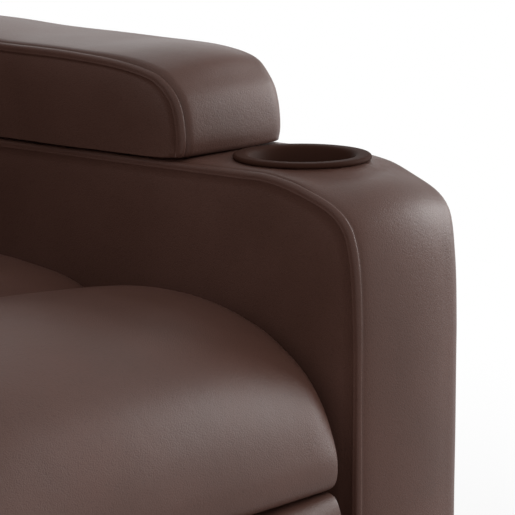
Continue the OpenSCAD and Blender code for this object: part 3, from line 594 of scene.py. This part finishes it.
# the arm's outer side: a lapped seam round its edge, then the flat panel, as steps out and in, in mm
OUTER_SIDE = ((0, 2.0), (0, 4.0), (-0.2, 5.6), (-0.9, 6.5), (-1.3, 7.2), (-0.9, 7.9), (-0.2, 8.8),
              (0.3, 10.0), (0.4, 11.6), (0.1, 12.9), (-0.6, 13.7), (-1.4, 14.4), (-1.3, 15.4), (-1.0, 18),
              (-0.8, 24), (-0.8, 32), (-1.0, 45), (-1.4, 65), (-1.8, 90), (-2.2, 120), (-2.4, 160))


def arm_sections():
    """The inner panel and its seam, the strip over the top and down the front, and the outer side."""
    z = arm_line[:, 1]
    # the rounding to the outer side is tighter on top; front is 1 down the front face and 0 on top
    r = 0.035 - 0.019 * ease(z, 0.52, ARM_TOP)
    out = OUTER + 0.003
    front = 1 - ease(arm_line[:, 0], FRONT + 0.035, FRONT + 0.085) * ease(z, 0.50, 0.57)
    proud = 0.0030 * front
    crown = 0.0015 + 0.0105 * front
    rows = seam_edge(INNER, depth=0.0026 * front)
    mid, half = (INNER + OUTER) / 2, (OUTER - INNER) / 2
    x0 = INNER + 0.0092
    for k in np.linspace(0, 1, 17) ** 1.5:
        x = x0 + (out - r - x0) * k
        t = (x - mid) / half
        rows.append((x, crown * t * t - proud + 0.0014 * np.exp(-(x - x0) / 0.003)))
    for a in np.linspace(0, math.pi / 2, 10)[1:]:
        x = out - r + r * math.sin(a)
        rows.append((x, crown * ((out - r - mid) / half) ** 2 - proud + 0.0015 * front * math.sin(a)
                     + r * (1 - math.cos(a))))
    base = rows[-1][1]
    rows += [(out + dx * mm, base + de * mm) for dx, de in OUTER_SIDE]
    rows += [(out - 0.0025, base + 0.160, k) for k in (0.6, 0.25)]
    return rows


arm = loft("arm_left", arm_line, arm_sections(), centre=(-0.06, 0.32))
wave(arm, 0.0011, 0.12, 3.0)
co = coords(arm)
# flat under the cup's rim, with two faint dents between the cup and the seam: x, y, depth, reach
upper = co[:, 2] > 0.53
far = np.hypot(co[:, 0] - CUP[0], co[:, 1] - CUP[1])
co[:, 2] += (ARM_TOP - 0.0006 - co[:, 2]) * ((1 - ease(far, 0.057, 0.067)) * upper)
for px, py, size, wide in ((0.268, -0.372, 0.0007, 0.012), (0.276, -0.398, 0.0006, 0.014)):
    co[:, 2] -= size * np.exp(-((co[:, 0] - px) ** 2 + (co[:, 1] - py) ** 2) / wide ** 2) * upper
set_coords(arm, co)


def cylinder(name, centre, r, z0, z1, n=96):
    """An upright cutter; none is left in the scene."""
    a = np.linspace(0, 2 * math.pi, n, endpoint=False)
    ring = np.column_stack([centre[0] + r * np.cos(a), centre[1] + r * np.sin(a)])
    v = [(x, y, z) for z in (z0, z1) for x, y in ring]
    return mesh_object(name, v, ring_faces(2, n, caps=False) + [tuple(range(n))[::-1], tuple(range(n, 2 * n))])


def cut(ob, cutter):
    """Takes the cutter's volume out of ob."""
    m = ob.modifiers.new("cut", "BOOLEAN")
    m.operation = "DIFFERENCE"
    m.object = cutter
    m.solver = "EXACT"
    baked(ob)
    bpy.data.objects.remove(cutter)
    return ob


cut(arm, cylinder("arm_cutter", CUP, CUP_CUT, CUP_CUT_FOOT, CUP_CUT_TOP))

# ---------------------------------------------------------------- arm pads
# up the rear, forward along the top, down the front, and back along the arm
pad_line = resample(smooth_curve([
    (0.226, PAD_FOOT + 0.002), (0.2505, PAD_FOOT + 0.012), (0.2535, PAD_FOOT + 0.040), (0.244, 0.6640),
    (0.215, 0.6765), (0.165, 0.6800), (0.06, 0.6785), (-0.05, 0.6752), (-0.13, 0.6740), (-0.190, 0.6705),
    (-0.2293, 0.6640), (-0.2464, 0.6560), (-0.2582, 0.6440), (-0.2640, 0.6310), (-0.2668, 0.6150),
    (-0.2672, 0.6020), (-0.2650, PAD_FOOT + 0.0035), (-0.2560, PAD_FOOT), (-0.18, PAD_FOOT - 0.0008),
    (0.0, PAD_FOOT - 0.0010), (0.15, PAD_FOOT)], 10), 0.0042)
# the pad's outer side: a narrow lapped seam, as steps out and in, in mm
PAD_SIDE = ((-0.2, 1.6), (-0.9, 2.4), (-1.3, 3.0), (-0.9, 3.8), (-0.2, 4.8), (-0.2, 6.0), (-1.0, 7.0),
            (-1.5, 7.7), (-1.3, 9.0))


def pad_sections():
    """The inner panel and its seam, the crowned top and front, and the outer side."""
    z = pad_line[:, 1]
    crown = 0.0045 + 0.0050 * ease(-pad_line[:, 0], 0.12, 0.22) * ease(z, 0.650, 0.667)
    out = OUTER - 0.001
    rows = seam_edge(INNER + 0.0015, fall=0.014, bulge=4.6, low=ARM_TOP + 0.006)
    mid, half = (INNER + out) / 2, (out - INNER) / 2
    x0 = INNER + 0.0107
    r = 0.030 - 0.006 * ease(z, 0.63, 0.67)
    for k in np.linspace(0, 1, 18):
        x = x0 + (out - r - x0) * k
        t = np.clip((x - mid) / half, -1, 1)
        rows.append((x, 0.0027 - crown * (1 - t * t) + 0.0006 * np.exp(-(x - x0) / 0.003)))
    t1 = (out - r - mid) / half
    e1 = 0.0027 - crown * (1 - t1 * t1)
    for a in np.linspace(0, math.pi / 2, 10)[1:]:
        rows.append((out - r + r * math.sin(a), e1 + r * (1 - math.cos(a))))
    last = rows[-1][1]
    rows += [(out + dx * mm, last + de * mm) for dx, de in PAD_SIDE]
    rows += [(out + 0.002, last + 0.009, k) for k in (0.8, 0.5, 0.2)]
    return rows


pad = loft("arm_pad_soft_left", pad_line, pad_sections(), centre=(-0.008, PAD_FOOT), reach=(0.26, 0.090))
wave(pad, 0.0012, 0.08, 9.0)


# ---------------------------------------------------------------- cup holders
def lathe(name, profile, centre, z, n=128):
    """The (radius, height) profile turned about the upright through centre."""
    p = np.asarray(profile)
    a = np.linspace(0, 2 * math.pi, n, endpoint=False)
    v = [(centre[0] + r * math.cos(t), centre[1] + r * math.sin(t), z + h) for r, h in p for t in a]
    v += [(centre[0], centre[1], z + p[0][1]), (centre[0], centre[1], z + p[-1][1])]
    return mesh_object(name, v, ring_faces(len(p), n))


# radius and height in mm: up the outside of the well, over the rim, and down its dished funnel
WELL = [(2, -79), (38, -79), (41, -77), (43, -72), (43.5, -30), (46, -14), (50, -7), (52, -3),
        (53, -0.4), (57.5, -0.2), (58.6, 0.5), (59, 1.6), (58.7, 2.8), (57.8, 3.7), (56.4, 4.2), (52, 4.3),
        (48.5, 4.1), (46.6, 3.4), (45.2, 2.0), (43.6, -1.5), (41.8, -6.5), (40.4, -12), (39.6, -18),
        (39.2, -26), (38.6, -60), (38.0, -70), (36.5, -73.2), (33.5, -74.6), (29, -75), (15, -75), (2, -75)]
cup = lathe("cup_left", smooth_curve(np.array(WELL) * mm, 3, closed=False)[::-1], CUP, ARM_TOP)

# ---------------------------------------------------------------- seat
F = FRONT


def rounded_sections(half, r, soft, drop, end, shares, n):
    """Sections of a cushion whose sides round over with radius r. soft scales that radius along the outline,
    drop(x) draws the outline in away from the middle, and end and shares close the two ends."""
    side = [(half - r + r * math.cos(a), r * (1 - math.sin(a)) * soft) for a in np.linspace(0, math.pi / 2, 8)]
    right = [(half, side[0][1] + end, k) for k in shares]
    right += [(x, e + drop(x)) for x, e in side] + [(x, drop(x)) for x in np.linspace(half - r, 0, n)[1:]]
    return both_sides(right)


# up the rear, over the rear lobe, the valley and the front lobe, down the roll, and back under the seat
seat_line = resample(smooth_curve([
    (SEAT_REAR - 0.002, SEAT_FOOT), (SEAT_REAR, 0.345), (SEAT_REAR - 0.004, 0.380),
    (SEAT_REAR - 0.018, 0.402), (SEAT_REAR - 0.032, 0.425), (SEAT_REAR - 0.038, 0.458),
    (SEAT_REAR - 0.050, 0.486), (SEAT_REAR - 0.100, 0.502), (F + 0.405, 0.5052), (F + 0.345, 0.5022),
    (F + 0.308, 0.4975), (F + 0.286, 0.4910), (F + 0.271, 0.4845), (F + 0.256, 0.4900), (F + 0.232, 0.4962),
    (F + 0.190, 0.4990), (F + 0.145, 0.4962), (F + 0.100, 0.4868), (F + 0.060, 0.4705), (F + 0.026, 0.4435),
    (F + 0.0075, 0.4100), (F + 0.0005, 0.3740), (F + 0.0008, 0.3580), (F + 0.0030, 0.3470),
    (F + 0.0090, 0.3408), (F + 0.022, 0.3376), (F + 0.045, 0.3310), (F + 0.075, SEAT_FOOT),
    (F + 0.2, SEAT_FOOT), (F + 0.4, SEAT_FOOT)], 10), 0.0075)


def seat_sections():
    """Crowned above the roll, and almost square-ended where the roll meets the leg rest."""
    up = ease(seat_line[:, 1], 0.34, 0.45)
    soft = 0.03 + 0.97 * ease(seat_line[:, 1], 0.348, 0.450)
    return rounded_sections(SEAT_HALF, SEAT_ROUND, soft,
                            lambda x: 0.0150 * up * np.minimum(1, (abs(x) / 0.235) ** 2),
                            0.012, (0.2, 0.5, 0.8), 26)


seat = loft("seat_soft", seat_line, seat_sections(), centre=(F + 0.29, 0.405))
co = coords(seat)
# narrower towards the front, and most of all at the roll's foot
co[:, 0] *= 1 - (0.020 + 0.085 * (1 - ease(co[:, 2], 0.34, 0.44))) * ease(-co[:, 1], 0.33, 0.465)
set_coords(seat, co)
valley = np.exp(-((co[:, 1] - (F + 0.272)) / 0.020) ** 2) * ease(co[:, 2], 0.44, 0.46)
stuff(seat, 1.2 * (1 - ease(co[:, 2], 0.345, 0.40)) + 0.9 * valley, cap=0.006)


# ---------------------------------------------------------------- back pillows and wings
# the welt between a pillow's side and its front: how far in from the side, and from the outline, in mm
WELT = ((3.0, 10.5), (5.0, 10.6), (6.6, 9.0), (8.4, 9.0), (10.0, 10.6), (12.0, 10.3), (15.0, 9.0))


def pillow(name, v0, v1, half, d, x_mid=0.0, step=0.0075):
    """A pillow in the back's frame, from v0 to v1, d deep and 2 * half wide, and how firmly each of its points
    is held. In a narrow one the welt moves in and the front stays flat."""
    h, b = v1 - v0, PILLOW_BACK
    line = resample(smooth_curve([
        (b - 0.30 * d, v0 - 0.001), (b - 0.06 * d, v0 + 0.03 * h), (b + 0.001, v0 + 0.14 * h),
        (b + 0.001, v0 + 0.5 * h), (b + 0.001, v1 - 0.14 * h), (b - 0.06 * d, v1 - 0.03 * h),
        (b - 0.32 * d, v1 + 0.001), (b - 0.66 * d, v1 - 0.035 * h), (b - 0.90 * d, v1 - 0.17 * h),
        (b - 1.02 * d, v0 + 0.58 * h), (b - 1.00 * d, v0 + 0.36 * h), (b - 0.87 * d, v0 + 0.14 * h),
        (b - 0.62 * d, v0 + 0.030 * h)], 8), step)
    c = (b - 0.45 * d, (v0 + v1) / 2)
    front = ease(-line[:, 0], 0.020, 0.085)
    soft = 0.25 + 0.75 * front
    r = min(0.030, half * 0.7)
    rows = [(half - 0.0015, 0.0125 + r * 0.55, k) for k in (0.15, 0.4, 0.65, 0.85)]
    rows += [(half - r + r * math.cos(a), (0.010 + r * 0.55 * (1 - math.sin(a))) * soft)
             for a in np.linspace(0, math.pi / 2, 8)]
    x = half - r
    narrow = min(1, x / 0.030)
    rows += [(x - dx * mm * narrow, e * mm * soft) for dx, e in WELT]
    x -= 0.018 * narrow
    wide = min(1, x / 0.05)
    rows += [(x * k, 0.0085 * (1 - wide * (1 - k ** 4)) * soft)
             for k in np.linspace(1, 0, max(4, int(x / 0.010)) + 1)]
    rows = [(q[0], q[1] - 0.006 * (1 - wide) * front, *q[2:]) for q in rows]
    both = [(x_mid + q[0], *q[1:]) for q in both_sides(rows)]
    ob = loft(name, line, both, centre=c, to_chair=on_back)
    u = np.tile(line[:, 0], len(both))
    sec_x = np.repeat([q[0] for q in both], len(line)) - x_mid
    edge = ease(np.abs(sec_x), half - r - 0.020, half - r - 0.002)
    pinned = np.maximum(1 - ease(-u, 0.020, 0.060), edge)
    pinned = np.concatenate([pinned, [1, 1]])
    return ob, pinned


pillows = {}
for key, v0, v1, half in (("lower", 0.064, 0.2575, PILLOW_HALF), ("middle", 0.2575, 0.4455, PILLOW_HALF),
                          ("head", 0.4455, WING_TOP, HEAD_HALF)):
    ob, pinned = pillow("pillow_%s_soft" % key, v0, v1, half, PILLOW_D)
    stuff(ob, pinned, cap=0.014, spare=0.010)
    pillows[key] = ob
wing, pinned = pillow("wing_left_soft", WING_FOOT, WING_TOP, WING_HALF, PILLOW_D + 0.016, x_mid=WING_MID,
                      step=0.0065)
stuff(wing, pinned, cap=0.006, spare=0.010)

# ---------------------------------------------------------------- leg rest
# under the board's lower edge, up its face, over the roll, and down past the channel between the two pads
CHANNEL_Z = 0.235
leg_line = resample(smooth_curve([
    (F + 0.050, 0.0580), (F + 0.0700, 0.0572), (F + 0.0790, 0.0580), (F + 0.0795, 0.0602),
    (F + 0.0700, 0.0612), (F + 0.0650, 0.0640), (F + 0.0645, 0.0720), (F + 0.0648, 0.19),
    (F + 0.0645, 0.300), (F + 0.060, 0.3140), (F + 0.044, 0.3265), (F + 0.023, 0.3376),
    (F + 0.0105, 0.3395), (F + 0.0030, 0.3345), (F - 0.0010, 0.3200), (F - 0.0015, 0.2980),
    (F + 0.0015, 0.2650), (F + 0.0100, 0.2420), (F + 0.0160, CHANNEL_Z), (F + 0.0100, 0.2280),
    (F + 0.0020, 0.2090), (F - 0.002, 0.1600), (F + 0.001, 0.1080), (F + 0.010, 0.0740),
    (F + 0.028, 0.0595)], 8), 0.004)


def leg_sections():
    """Crowned in front, flat at the back, and almost square-ended under the seat's roll."""
    front = 1 - ease(leg_line[:, 0], F + 0.030, F + 0.060)
    top = ease(leg_line[:, 1], 0.290, 0.328)
    return rounded_sections(LEG_HALF, LEG_ROUND, (0.25 + 0.75 * front) * (1 - 0.97 * top),
                            lambda x: 0.006 * front * (1 - top) * (abs(x) / LEG_HALF) ** 2.4,
                            0.004, (0.25, 0.6, 0.85), 24)


leg = loft("legrest_soft", leg_line, leg_sections(), centre=(F + 0.034, 0.19))
co = coords(leg)
co[:, 0] *= 1 - 0.020 * ease(-co[:, 1], 0.400, 0.455) - 0.070 * ease(co[:, 2], 0.262, 0.332)
set_coords(leg, co)
channel = np.exp(-((co[:, 2] - CHANNEL_Z) / 0.009) ** 2)
stuff(leg, ease(co[:, 1], F + 0.035, F + 0.055) + channel, cap=0.007, spare=0.006)

simulate()

for ob in [seat, leg, wing] + list(pillows.values()):
    subdivided(ob)
wave(seat, 0.0016, 0.11, 21.0)
wave(leg, 0.0014, 0.08, 31.0)
for n, ob in enumerate(pillows.values()):
    wave(ob, 0.0022, 0.10, 41.0 + n)
wave(wing, 0.0012, 0.08, 51.0)

for ob, body, node_name in ((seat, "chassis", "seat_cushion"), (leg, "legrest", "legrest_cushion"),
                            (pillows["lower"], "backrest", "pillow_lower"),
                            (pillows["middle"], "backrest", "pillow_middle"),
                            (pillows["head"], "backrest", "pillow_head")):
    finish_piece(ob, body, LEATHER, "leather", node_name)
for ob, body, node_name, fill in ((arm, "chassis", "arm_cover", 1.0), (pad, "chassis", "arm_pad", 0.9),
                                  (wing, "backrest", "wing", 0.85)):
    other = mirrored(ob, ob.name.replace("left", "right"))
    for o, side in ((ob, "left"), (other, "right")):
        inside = ["arm_frame_" + side] if node_name == "arm_cover" else []
        finish_piece(o, body, LEATHER, "leather", "%s_%s" % (node_name, side), *inside)
for o, side in ((cup, "left"), (mirrored(cup, "cup_right"), "right")):
    finish_piece(o, "chassis", CUP_PLASTIC, "cup_plastic", "cup_holder_" + side)

# ---------------------------------------------------------------- back's shell
# narrow between the arms, and wide behind the wings
step_z = WING_FOOT + 0.004
shell_line = resample(corners([
    (-SHELL_HALF, SHELL_FOOT, 0.020), (SHELL_HALF, SHELL_FOOT, 0.020), (SHELL_HALF, step_z, 0.006),
    (SHELL_WIDE, step_z, 0.016), (SHELL_WIDE, BACK_H, 0.058), (-SHELL_WIDE, BACK_H, 0.058),
    (-SHELL_WIDE, step_z, 0.016), (-SHELL_HALF, step_z, 0.006)]), 0.006)
# along the side: depth and inset; round the rear face: steps out and in, in mm
PIPING = [(0.088, 0.0004), (0.0905, 0.0016), (0.0925, 0.0006), (0.0945, -0.0006), (0.0985, -0.0008),
          (0.1010, 0.0004), (0.1025, 0.0014)]
REAR_SEAM = ((0.3, 2), (0.3, 4), (-0.9, 5.2), (-1.2, 6.0), (0.2, 7.2), (0.9, 9), (0.9, 11), (0.2, 12.4),
             (-1.2, 13.4), (-1.0, 14.6), (0.0, 18), (1.0, 26))


def shell_face(yz, o):
    """The crown of the shell's back: fuller away from the outline."""
    return SHELL_D + (1.0 + 4.8 * ease(edge_distance(yz, np.vstack([o, o[:1]])), 0.06, 0.20)) * mm


def shell_sections():
    """From the face behind the pillows, along the side with its piping, to the rear face with its seam."""
    rows = [(-0.0150, 0.030, k) for k in (0.2, 0.6)]
    rows += [(-0.0150, 0.030), (-0.0165, 0.020), (-0.0165, 0.010), (-0.0150, 0.004), (-0.010, 0.001)]
    rows += [(u, -0.0008 * math.sin(math.pi * (u + 0.005) / 0.09)) for u in np.linspace(-0.004, 0.085, 14)]
    rows += PIPING
    r = 0.034
    rows += [(SHELL_D - r + r * math.sin(a), 0.0008 + r * (1 - math.cos(a)))
             for a in np.linspace(0.12, math.pi / 2, 10)]
    base = 0.0008 + r
    rows += [(SHELL_D + du * mm, base + e * mm) for du, e in REAR_SEAM]
    rows += [(shell_face, base + e * mm) for e in (40, 60, 85, 115, 150)]
    rows += [(shell_face, base + 0.150, k) for k in (0.6, 0.25)]
    return rows


def shell_to_chair(v):
    """The shell is lofted along the back's depth, so its first two columns change places."""
    return on_back(np.column_stack([v[:, 1], v[:, 0], v[:, 2]]))


shell = loft("back_shell_soft", shell_line, shell_sections(), centre=(0.0, 0.50), to_chair=shell_to_chair,
             reach=(0.27, 0.47))
finish_piece(shell, "backrest", LEATHER, "leather", "back_shell")


# ---------------------------------------------------------------- sheets and strips
def swept(name, path, profile):
    """A closed profile (across, out) carried along an open path, with 'out' leaning upwards."""
    p = np.asarray(path, float)
    n, m = len(p), len(profile)
    t = np.gradient(p, axis=0)
    t /= np.linalg.norm(t, axis=1)[:, None]
    side = np.cross(t, (0.0, 0.0, 1.0))
    side /= np.linalg.norm(side, axis=1)[:, None]
    out = np.cross(side, t)
    v = [p[k] + side[k] * a + out[k] * b for k in range(n) for a, b in profile]
    f = ring_faces(n, m, caps=False) + [tuple(range(m))[::-1], tuple((n - 1) * m + i for i in range(m))]
    return outward(mesh_object(name, v, f))


def oval(width, rise, n=14):
    """A closed (across, out) profile for swept."""
    return [(width / 2 * math.cos(a), rise / 2 * math.sin(a))
            for a in np.linspace(0, 2 * math.pi, n, endpoint=False)]


def sheet(name, rows, thick):
    """A sheet with thickness from a grid of points."""
    g = np.asarray(rows, float)
    n, m = g.shape[:2]
    f = [(i * m + j, i * m + j + 1, (i + 1) * m + j + 1, (i + 1) * m + j)
         for i in range(n - 1) for j in range(m - 1)]
    ob = mesh_object(name, g.reshape(-1, 3), f)
    s = ob.modifiers.new("thick", "SOLIDIFY")
    s.thickness = thick
    s.offset = 0
    return outward(baked(ob))


# ---------------------------------------------------------------- side pockets
def pocket():
    """A gathered pouch on the arm's outside, from the arm's side round and back to it, and its hem."""
    y0, y1, z0, z1, t = (POCKET[k] for k in ("y0", "y1", "z0", "z1", "t"))
    gathers = 132
    x_in, x_out, y_mid = OUTER + 0.002, OUTER + t - 0.002, (y0 + y1) / 2
    plan = resample(corners([(y0, x_in, 0), (y0, x_out, 0.016), (y1, x_out, 0.016), (y1, x_in, 0)]), 0.0035,
                    closed=False)
    s = np.linspace(0, 1, len(plan))
    rows = []
    for v in np.concatenate([[0, 0.008, 0.02, 0.04, 0.065], np.linspace(0.10, 1, 32)]):
        out = 1 - 0.80 * math.exp(-v / 0.030)
        gather = 0.0012 * ease(v, 0.5, 0.95) * np.sin(s * gathers + 1.4 * np.sin(s * 13))
        x = (x_in + (plan[:, 1] - x_in) * out * (1 - 0.05 * ease(v, 0.6, 1))
             + gather * ease(plan[:, 1], x_in, x_out))
        y = y_mid + (plan[:, 0] - y_mid) * (1 - 0.05 * math.exp(-v / 0.03) - 0.012 * ease(v, 0.6, 1))
        rows.append(np.column_stack([x, y, np.full(len(plan), z0 + (z1 - 0.004 - z0) * v)]))
    bag = sheet("pocket_left", rows, 0.0028)
    edge = rows[-1].copy()
    edge[:, 2] = z1 - 0.0078 + 0.0005 * np.sin(s * gathers)
    edge = smooth_curve(edge, 2, closed=False)
    hem = swept("pocket_hem_left", edge, oval(0.0056, 0.0150))
    wave(hem, 0.0005, 0.006, 5.0)
    return bag, hem


for ob, names in zip(pocket(), (("side_pocket_left", "side_pocket_right"), ())):
    other = mirrored(ob, ob.name.replace("left", "right"))
    finish_piece(ob, "chassis", LEATHER, "leather", *names[:1])
    finish_piece(other, "chassis", LEATHER, "leather", *names[1:])


# ---------------------------------------------------------------- rear panel and the flap above it
def hanging(name, half, y0, z0, y1, z1, thick, ripple, folds):
    """A stretched cover between a foot at (y0, z0) and a top at (y1, z1), with rolled hems."""
    x = np.linspace(-half, half, 130)
    rows = []
    for v in np.linspace(0, 1, 40):
        slack = math.sin(math.pi * v)
        d = ripple * (0.3 + slack) * np.sin(x / half * folds + 2.2 * v + np.sin(x * 17)) * (1 - (x / half) ** 8)
        hem = 0.0012 * (math.exp(-((v - 0.02) / 0.02) ** 2) + math.exp(-((v - 0.98) / 0.02) ** 2))
        stitch = -0.0010 * (math.exp(-((v - 0.09) / 0.008) ** 2) + math.exp(-((v - 0.91) / 0.008) ** 2))
        rows.append(np.column_stack([x, y0 + (y1 - y0) * v + d + hem + stitch,
                                     np.full(len(x), z0 + (z1 - z0) * v)]))
    return sheet(name, rows, thick)


rear = hanging("rear_panel_soft", 0.2465, 0.3260, 0.0610, 0.3260, 0.2545, thick=0.0105, ripple=0.0008, folds=9)
finish_piece(rear, "chassis", LEATHER, "leather", "rear_panel")
flap = hanging("rear_flap", 0.2455, 0.3190, 0.2350, 0.3120, 0.3780, thick=0.0022, ripple=0.0010, folds=7)
finish_piece(flap, "chassis", LEATHER, "leather")
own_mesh(flap)

# ---------------------------------------------------------------- handset
# hx0 is its outer face and hx1 its inner one
hx0, hx1 = -0.4285, -0.4065
hy, hz0, hz1 = -0.13315, 0.3335, 0.5335
waist = (hz0 + hz1) / 2 + 0.02
BUTTON_HEIGHTS, BUTTON_HOLE, HOLE_DEPTH = (0.4895, 0.5135), 0.0083, 0.0046
hand_line = resample(corners([(hy - 0.025, hz0, 0.009), (hy + 0.025, hz0, 0.009), (hy + 0.027, waist, 0.05),
                              (hy + 0.0265, hz1, 0.014), (hy - 0.0265, hz1, 0.014),
                              (hy - 0.027, waist, 0.05)]), 0.002)
# depth from the inner face, and inset
hand_rows = ([(0.0, 0.010, k) for k in (0.3, 0.7)]
             + [(0.0, 0.010), (0.0, 0.0055), (0.0006, 0.0030), (0.0022, 0.0011), (0.0045, 0.0002), (0.0075, 0),
                (0.0108, 0), (0.0112, 0.0004), (0.0116, 0.0004), (0.0120, 0), (0.0150, 0), (0.0180, 0.0004),
                (0.0200, 0.0013), (0.0214, 0.0030), (0.0220, 0.0052), (0.0220, 0.0060), (0.0216, 0.0063),
                (0.0216, 0.0100)]
             + [(0.0216, 0.0100, k) for k in (0.7, 0.3)])
handset = loft("handset_soft", hand_line, [(hx1 - q[0], *q[1:]) for q in hand_rows],
               centre=(hy, (hz0 + hz1) / 2))
for z in BUTTON_HEIGHTS:
    # the cutter is drawn upright and laid along x
    hole = cylinder("hand_cutter", (z, hy), BUTTON_HOLE, -0.440, hx0 + HOLE_DEPTH)
    set_coords(hole, coords(hole)[:, ::-1])
    cut(handset, outward(hole))
finish_piece(handset, "handset", BLACK_PLASTIC, "motor_plastic", "handset")


def button(name, z, up):
    """A domed round button with a raised arrow."""
    prof = ((0.0035, 0.00425), (0.0058, 0.0039), (0.0070, 0.0034), (0.0077, 0.0026), (0.0079, 0.0016),
            (0.0079, 0))
    a = np.linspace(0, 2 * math.pi, 56, endpoint=False)
    foot = hx0 + 0.0028
    v = [(foot - h, hy + r * math.cos(t), z + r * math.sin(t)) for r, h in prof for t in a]
    v += [(foot - 0.00435, hy, z), (foot, hy, z)]
    cap = outward(mesh_object(name + "_cap", v, ring_faces(len(prof), len(a))))
    s = 1 if up else -1
    tri = resample(corners([(hy - 0.0036, z - s * 0.0021, 0.0006), (hy + 0.0036, z - s * 0.0021, 0.0006),
                            (hy, z + s * 0.0034, 0.0006)][::s]), 0.0004)
    mark = loft(name + "_arrow", tri, [(hx0 - 0.0008, 0, 0.9), (hx0 - 0.0012, 0), (hx0 - 0.00165, 0.0001),
                                       (hx0 - 0.0018, 0.0004), (hx0 - 0.0018, 0.0004, 0.4)],
                centre=(hy, z - s * 0.0003))
    finish_piece(cap, name, GREY_PLASTIC, "motor_plastic", name)
    finish_piece(mark, name, ARROW_WHITE, "motor_plastic")


button("button_down", BUTTON_HEIGHTS[0], False)
button("button_up", BUTTON_HEIGHTS[1], True)


# ---------------------------------------------------------------- bolts
def bolt(name, body, x, y, z, flats, thick, side):
    """Washer and hexagon head on a pin's end, facing away from the middle."""
    r = flats * 0.5
    corner = r / math.cos(math.radians(30))
    hexa = resample(np.array([(corner * math.cos(t), corner * math.sin(t))
                              for t in np.linspace(0, 2 * math.pi, 6, endpoint=False)]), r * 0.19)
    ang = np.arctan2(hexa[:, 1], hexa[:, 0])
    circle = np.column_stack([np.cos(ang), np.sin(ang)])
    chamfer = np.minimum(1, r * 0.96 / np.linalg.norm(hexa, axis=1))[:, None] * hexa
    w = thick * 0.3
    rings = ((circle * r * 1.30, 0), (circle * r * 1.30, w * 0.8), (circle * r * 1.24, w), (hexa, w),
             (hexa, thick * 0.86), (chamfer, thick), (hexa * 0.55, thick))
    v = [(side * (x + h), y + p[0], z + p[1]) for shape, h in rings for p in shape]
    v += [(side * x, y, z), (side * (x + thick * 0.97), y, z)]
    finish_piece(outward(mesh_object(name, v, ring_faces(len(rings), len(hexa)))), body, ZINC, "bright_steel")


# the pins' ends: x, y behind the front, z, then width over the flats and thickness
for side, tag in ((1, "left"), (-1, "right")):
    for key, body, x, y, z, flats, thick in (("lift", "base", 0.232, 0.263, 0.175, 0.019, 0.008),
                                             ("link", "base", 0.232, 0.1002, 0.1038, 0.016, 0.007),
                                             ("tip", "chassis", 0.2222, 0.663, 0.175, 0.019, 0.0036),
                                             ("front", "chassis", 0.2222, 0.203, 0.075, 0.016, 0.0036)):
        bolt("bolt_%s_%s" % (key, tag), body, x, FRONT + y, z, flats, thick, side)

# ---------------------------------------------------------------- the CAD's own parts
# what each slot of the record shows
PAINT = {"frame_steel": STEEL, "bright_steel": ZINC, "board": WOOD, "motor_plastic": BLACK_PLASTIC,
         "foot_rubber": RUBBER, "leather": LEATHER, "cup_plastic": CUP_PLASTIC}
slots = {s["node"]: s["material_slot"] for s in frame["record"]["subparts"]}
for name, ob in frame["nodes"].items():
    paint(ob, PAINT[slots[name]])
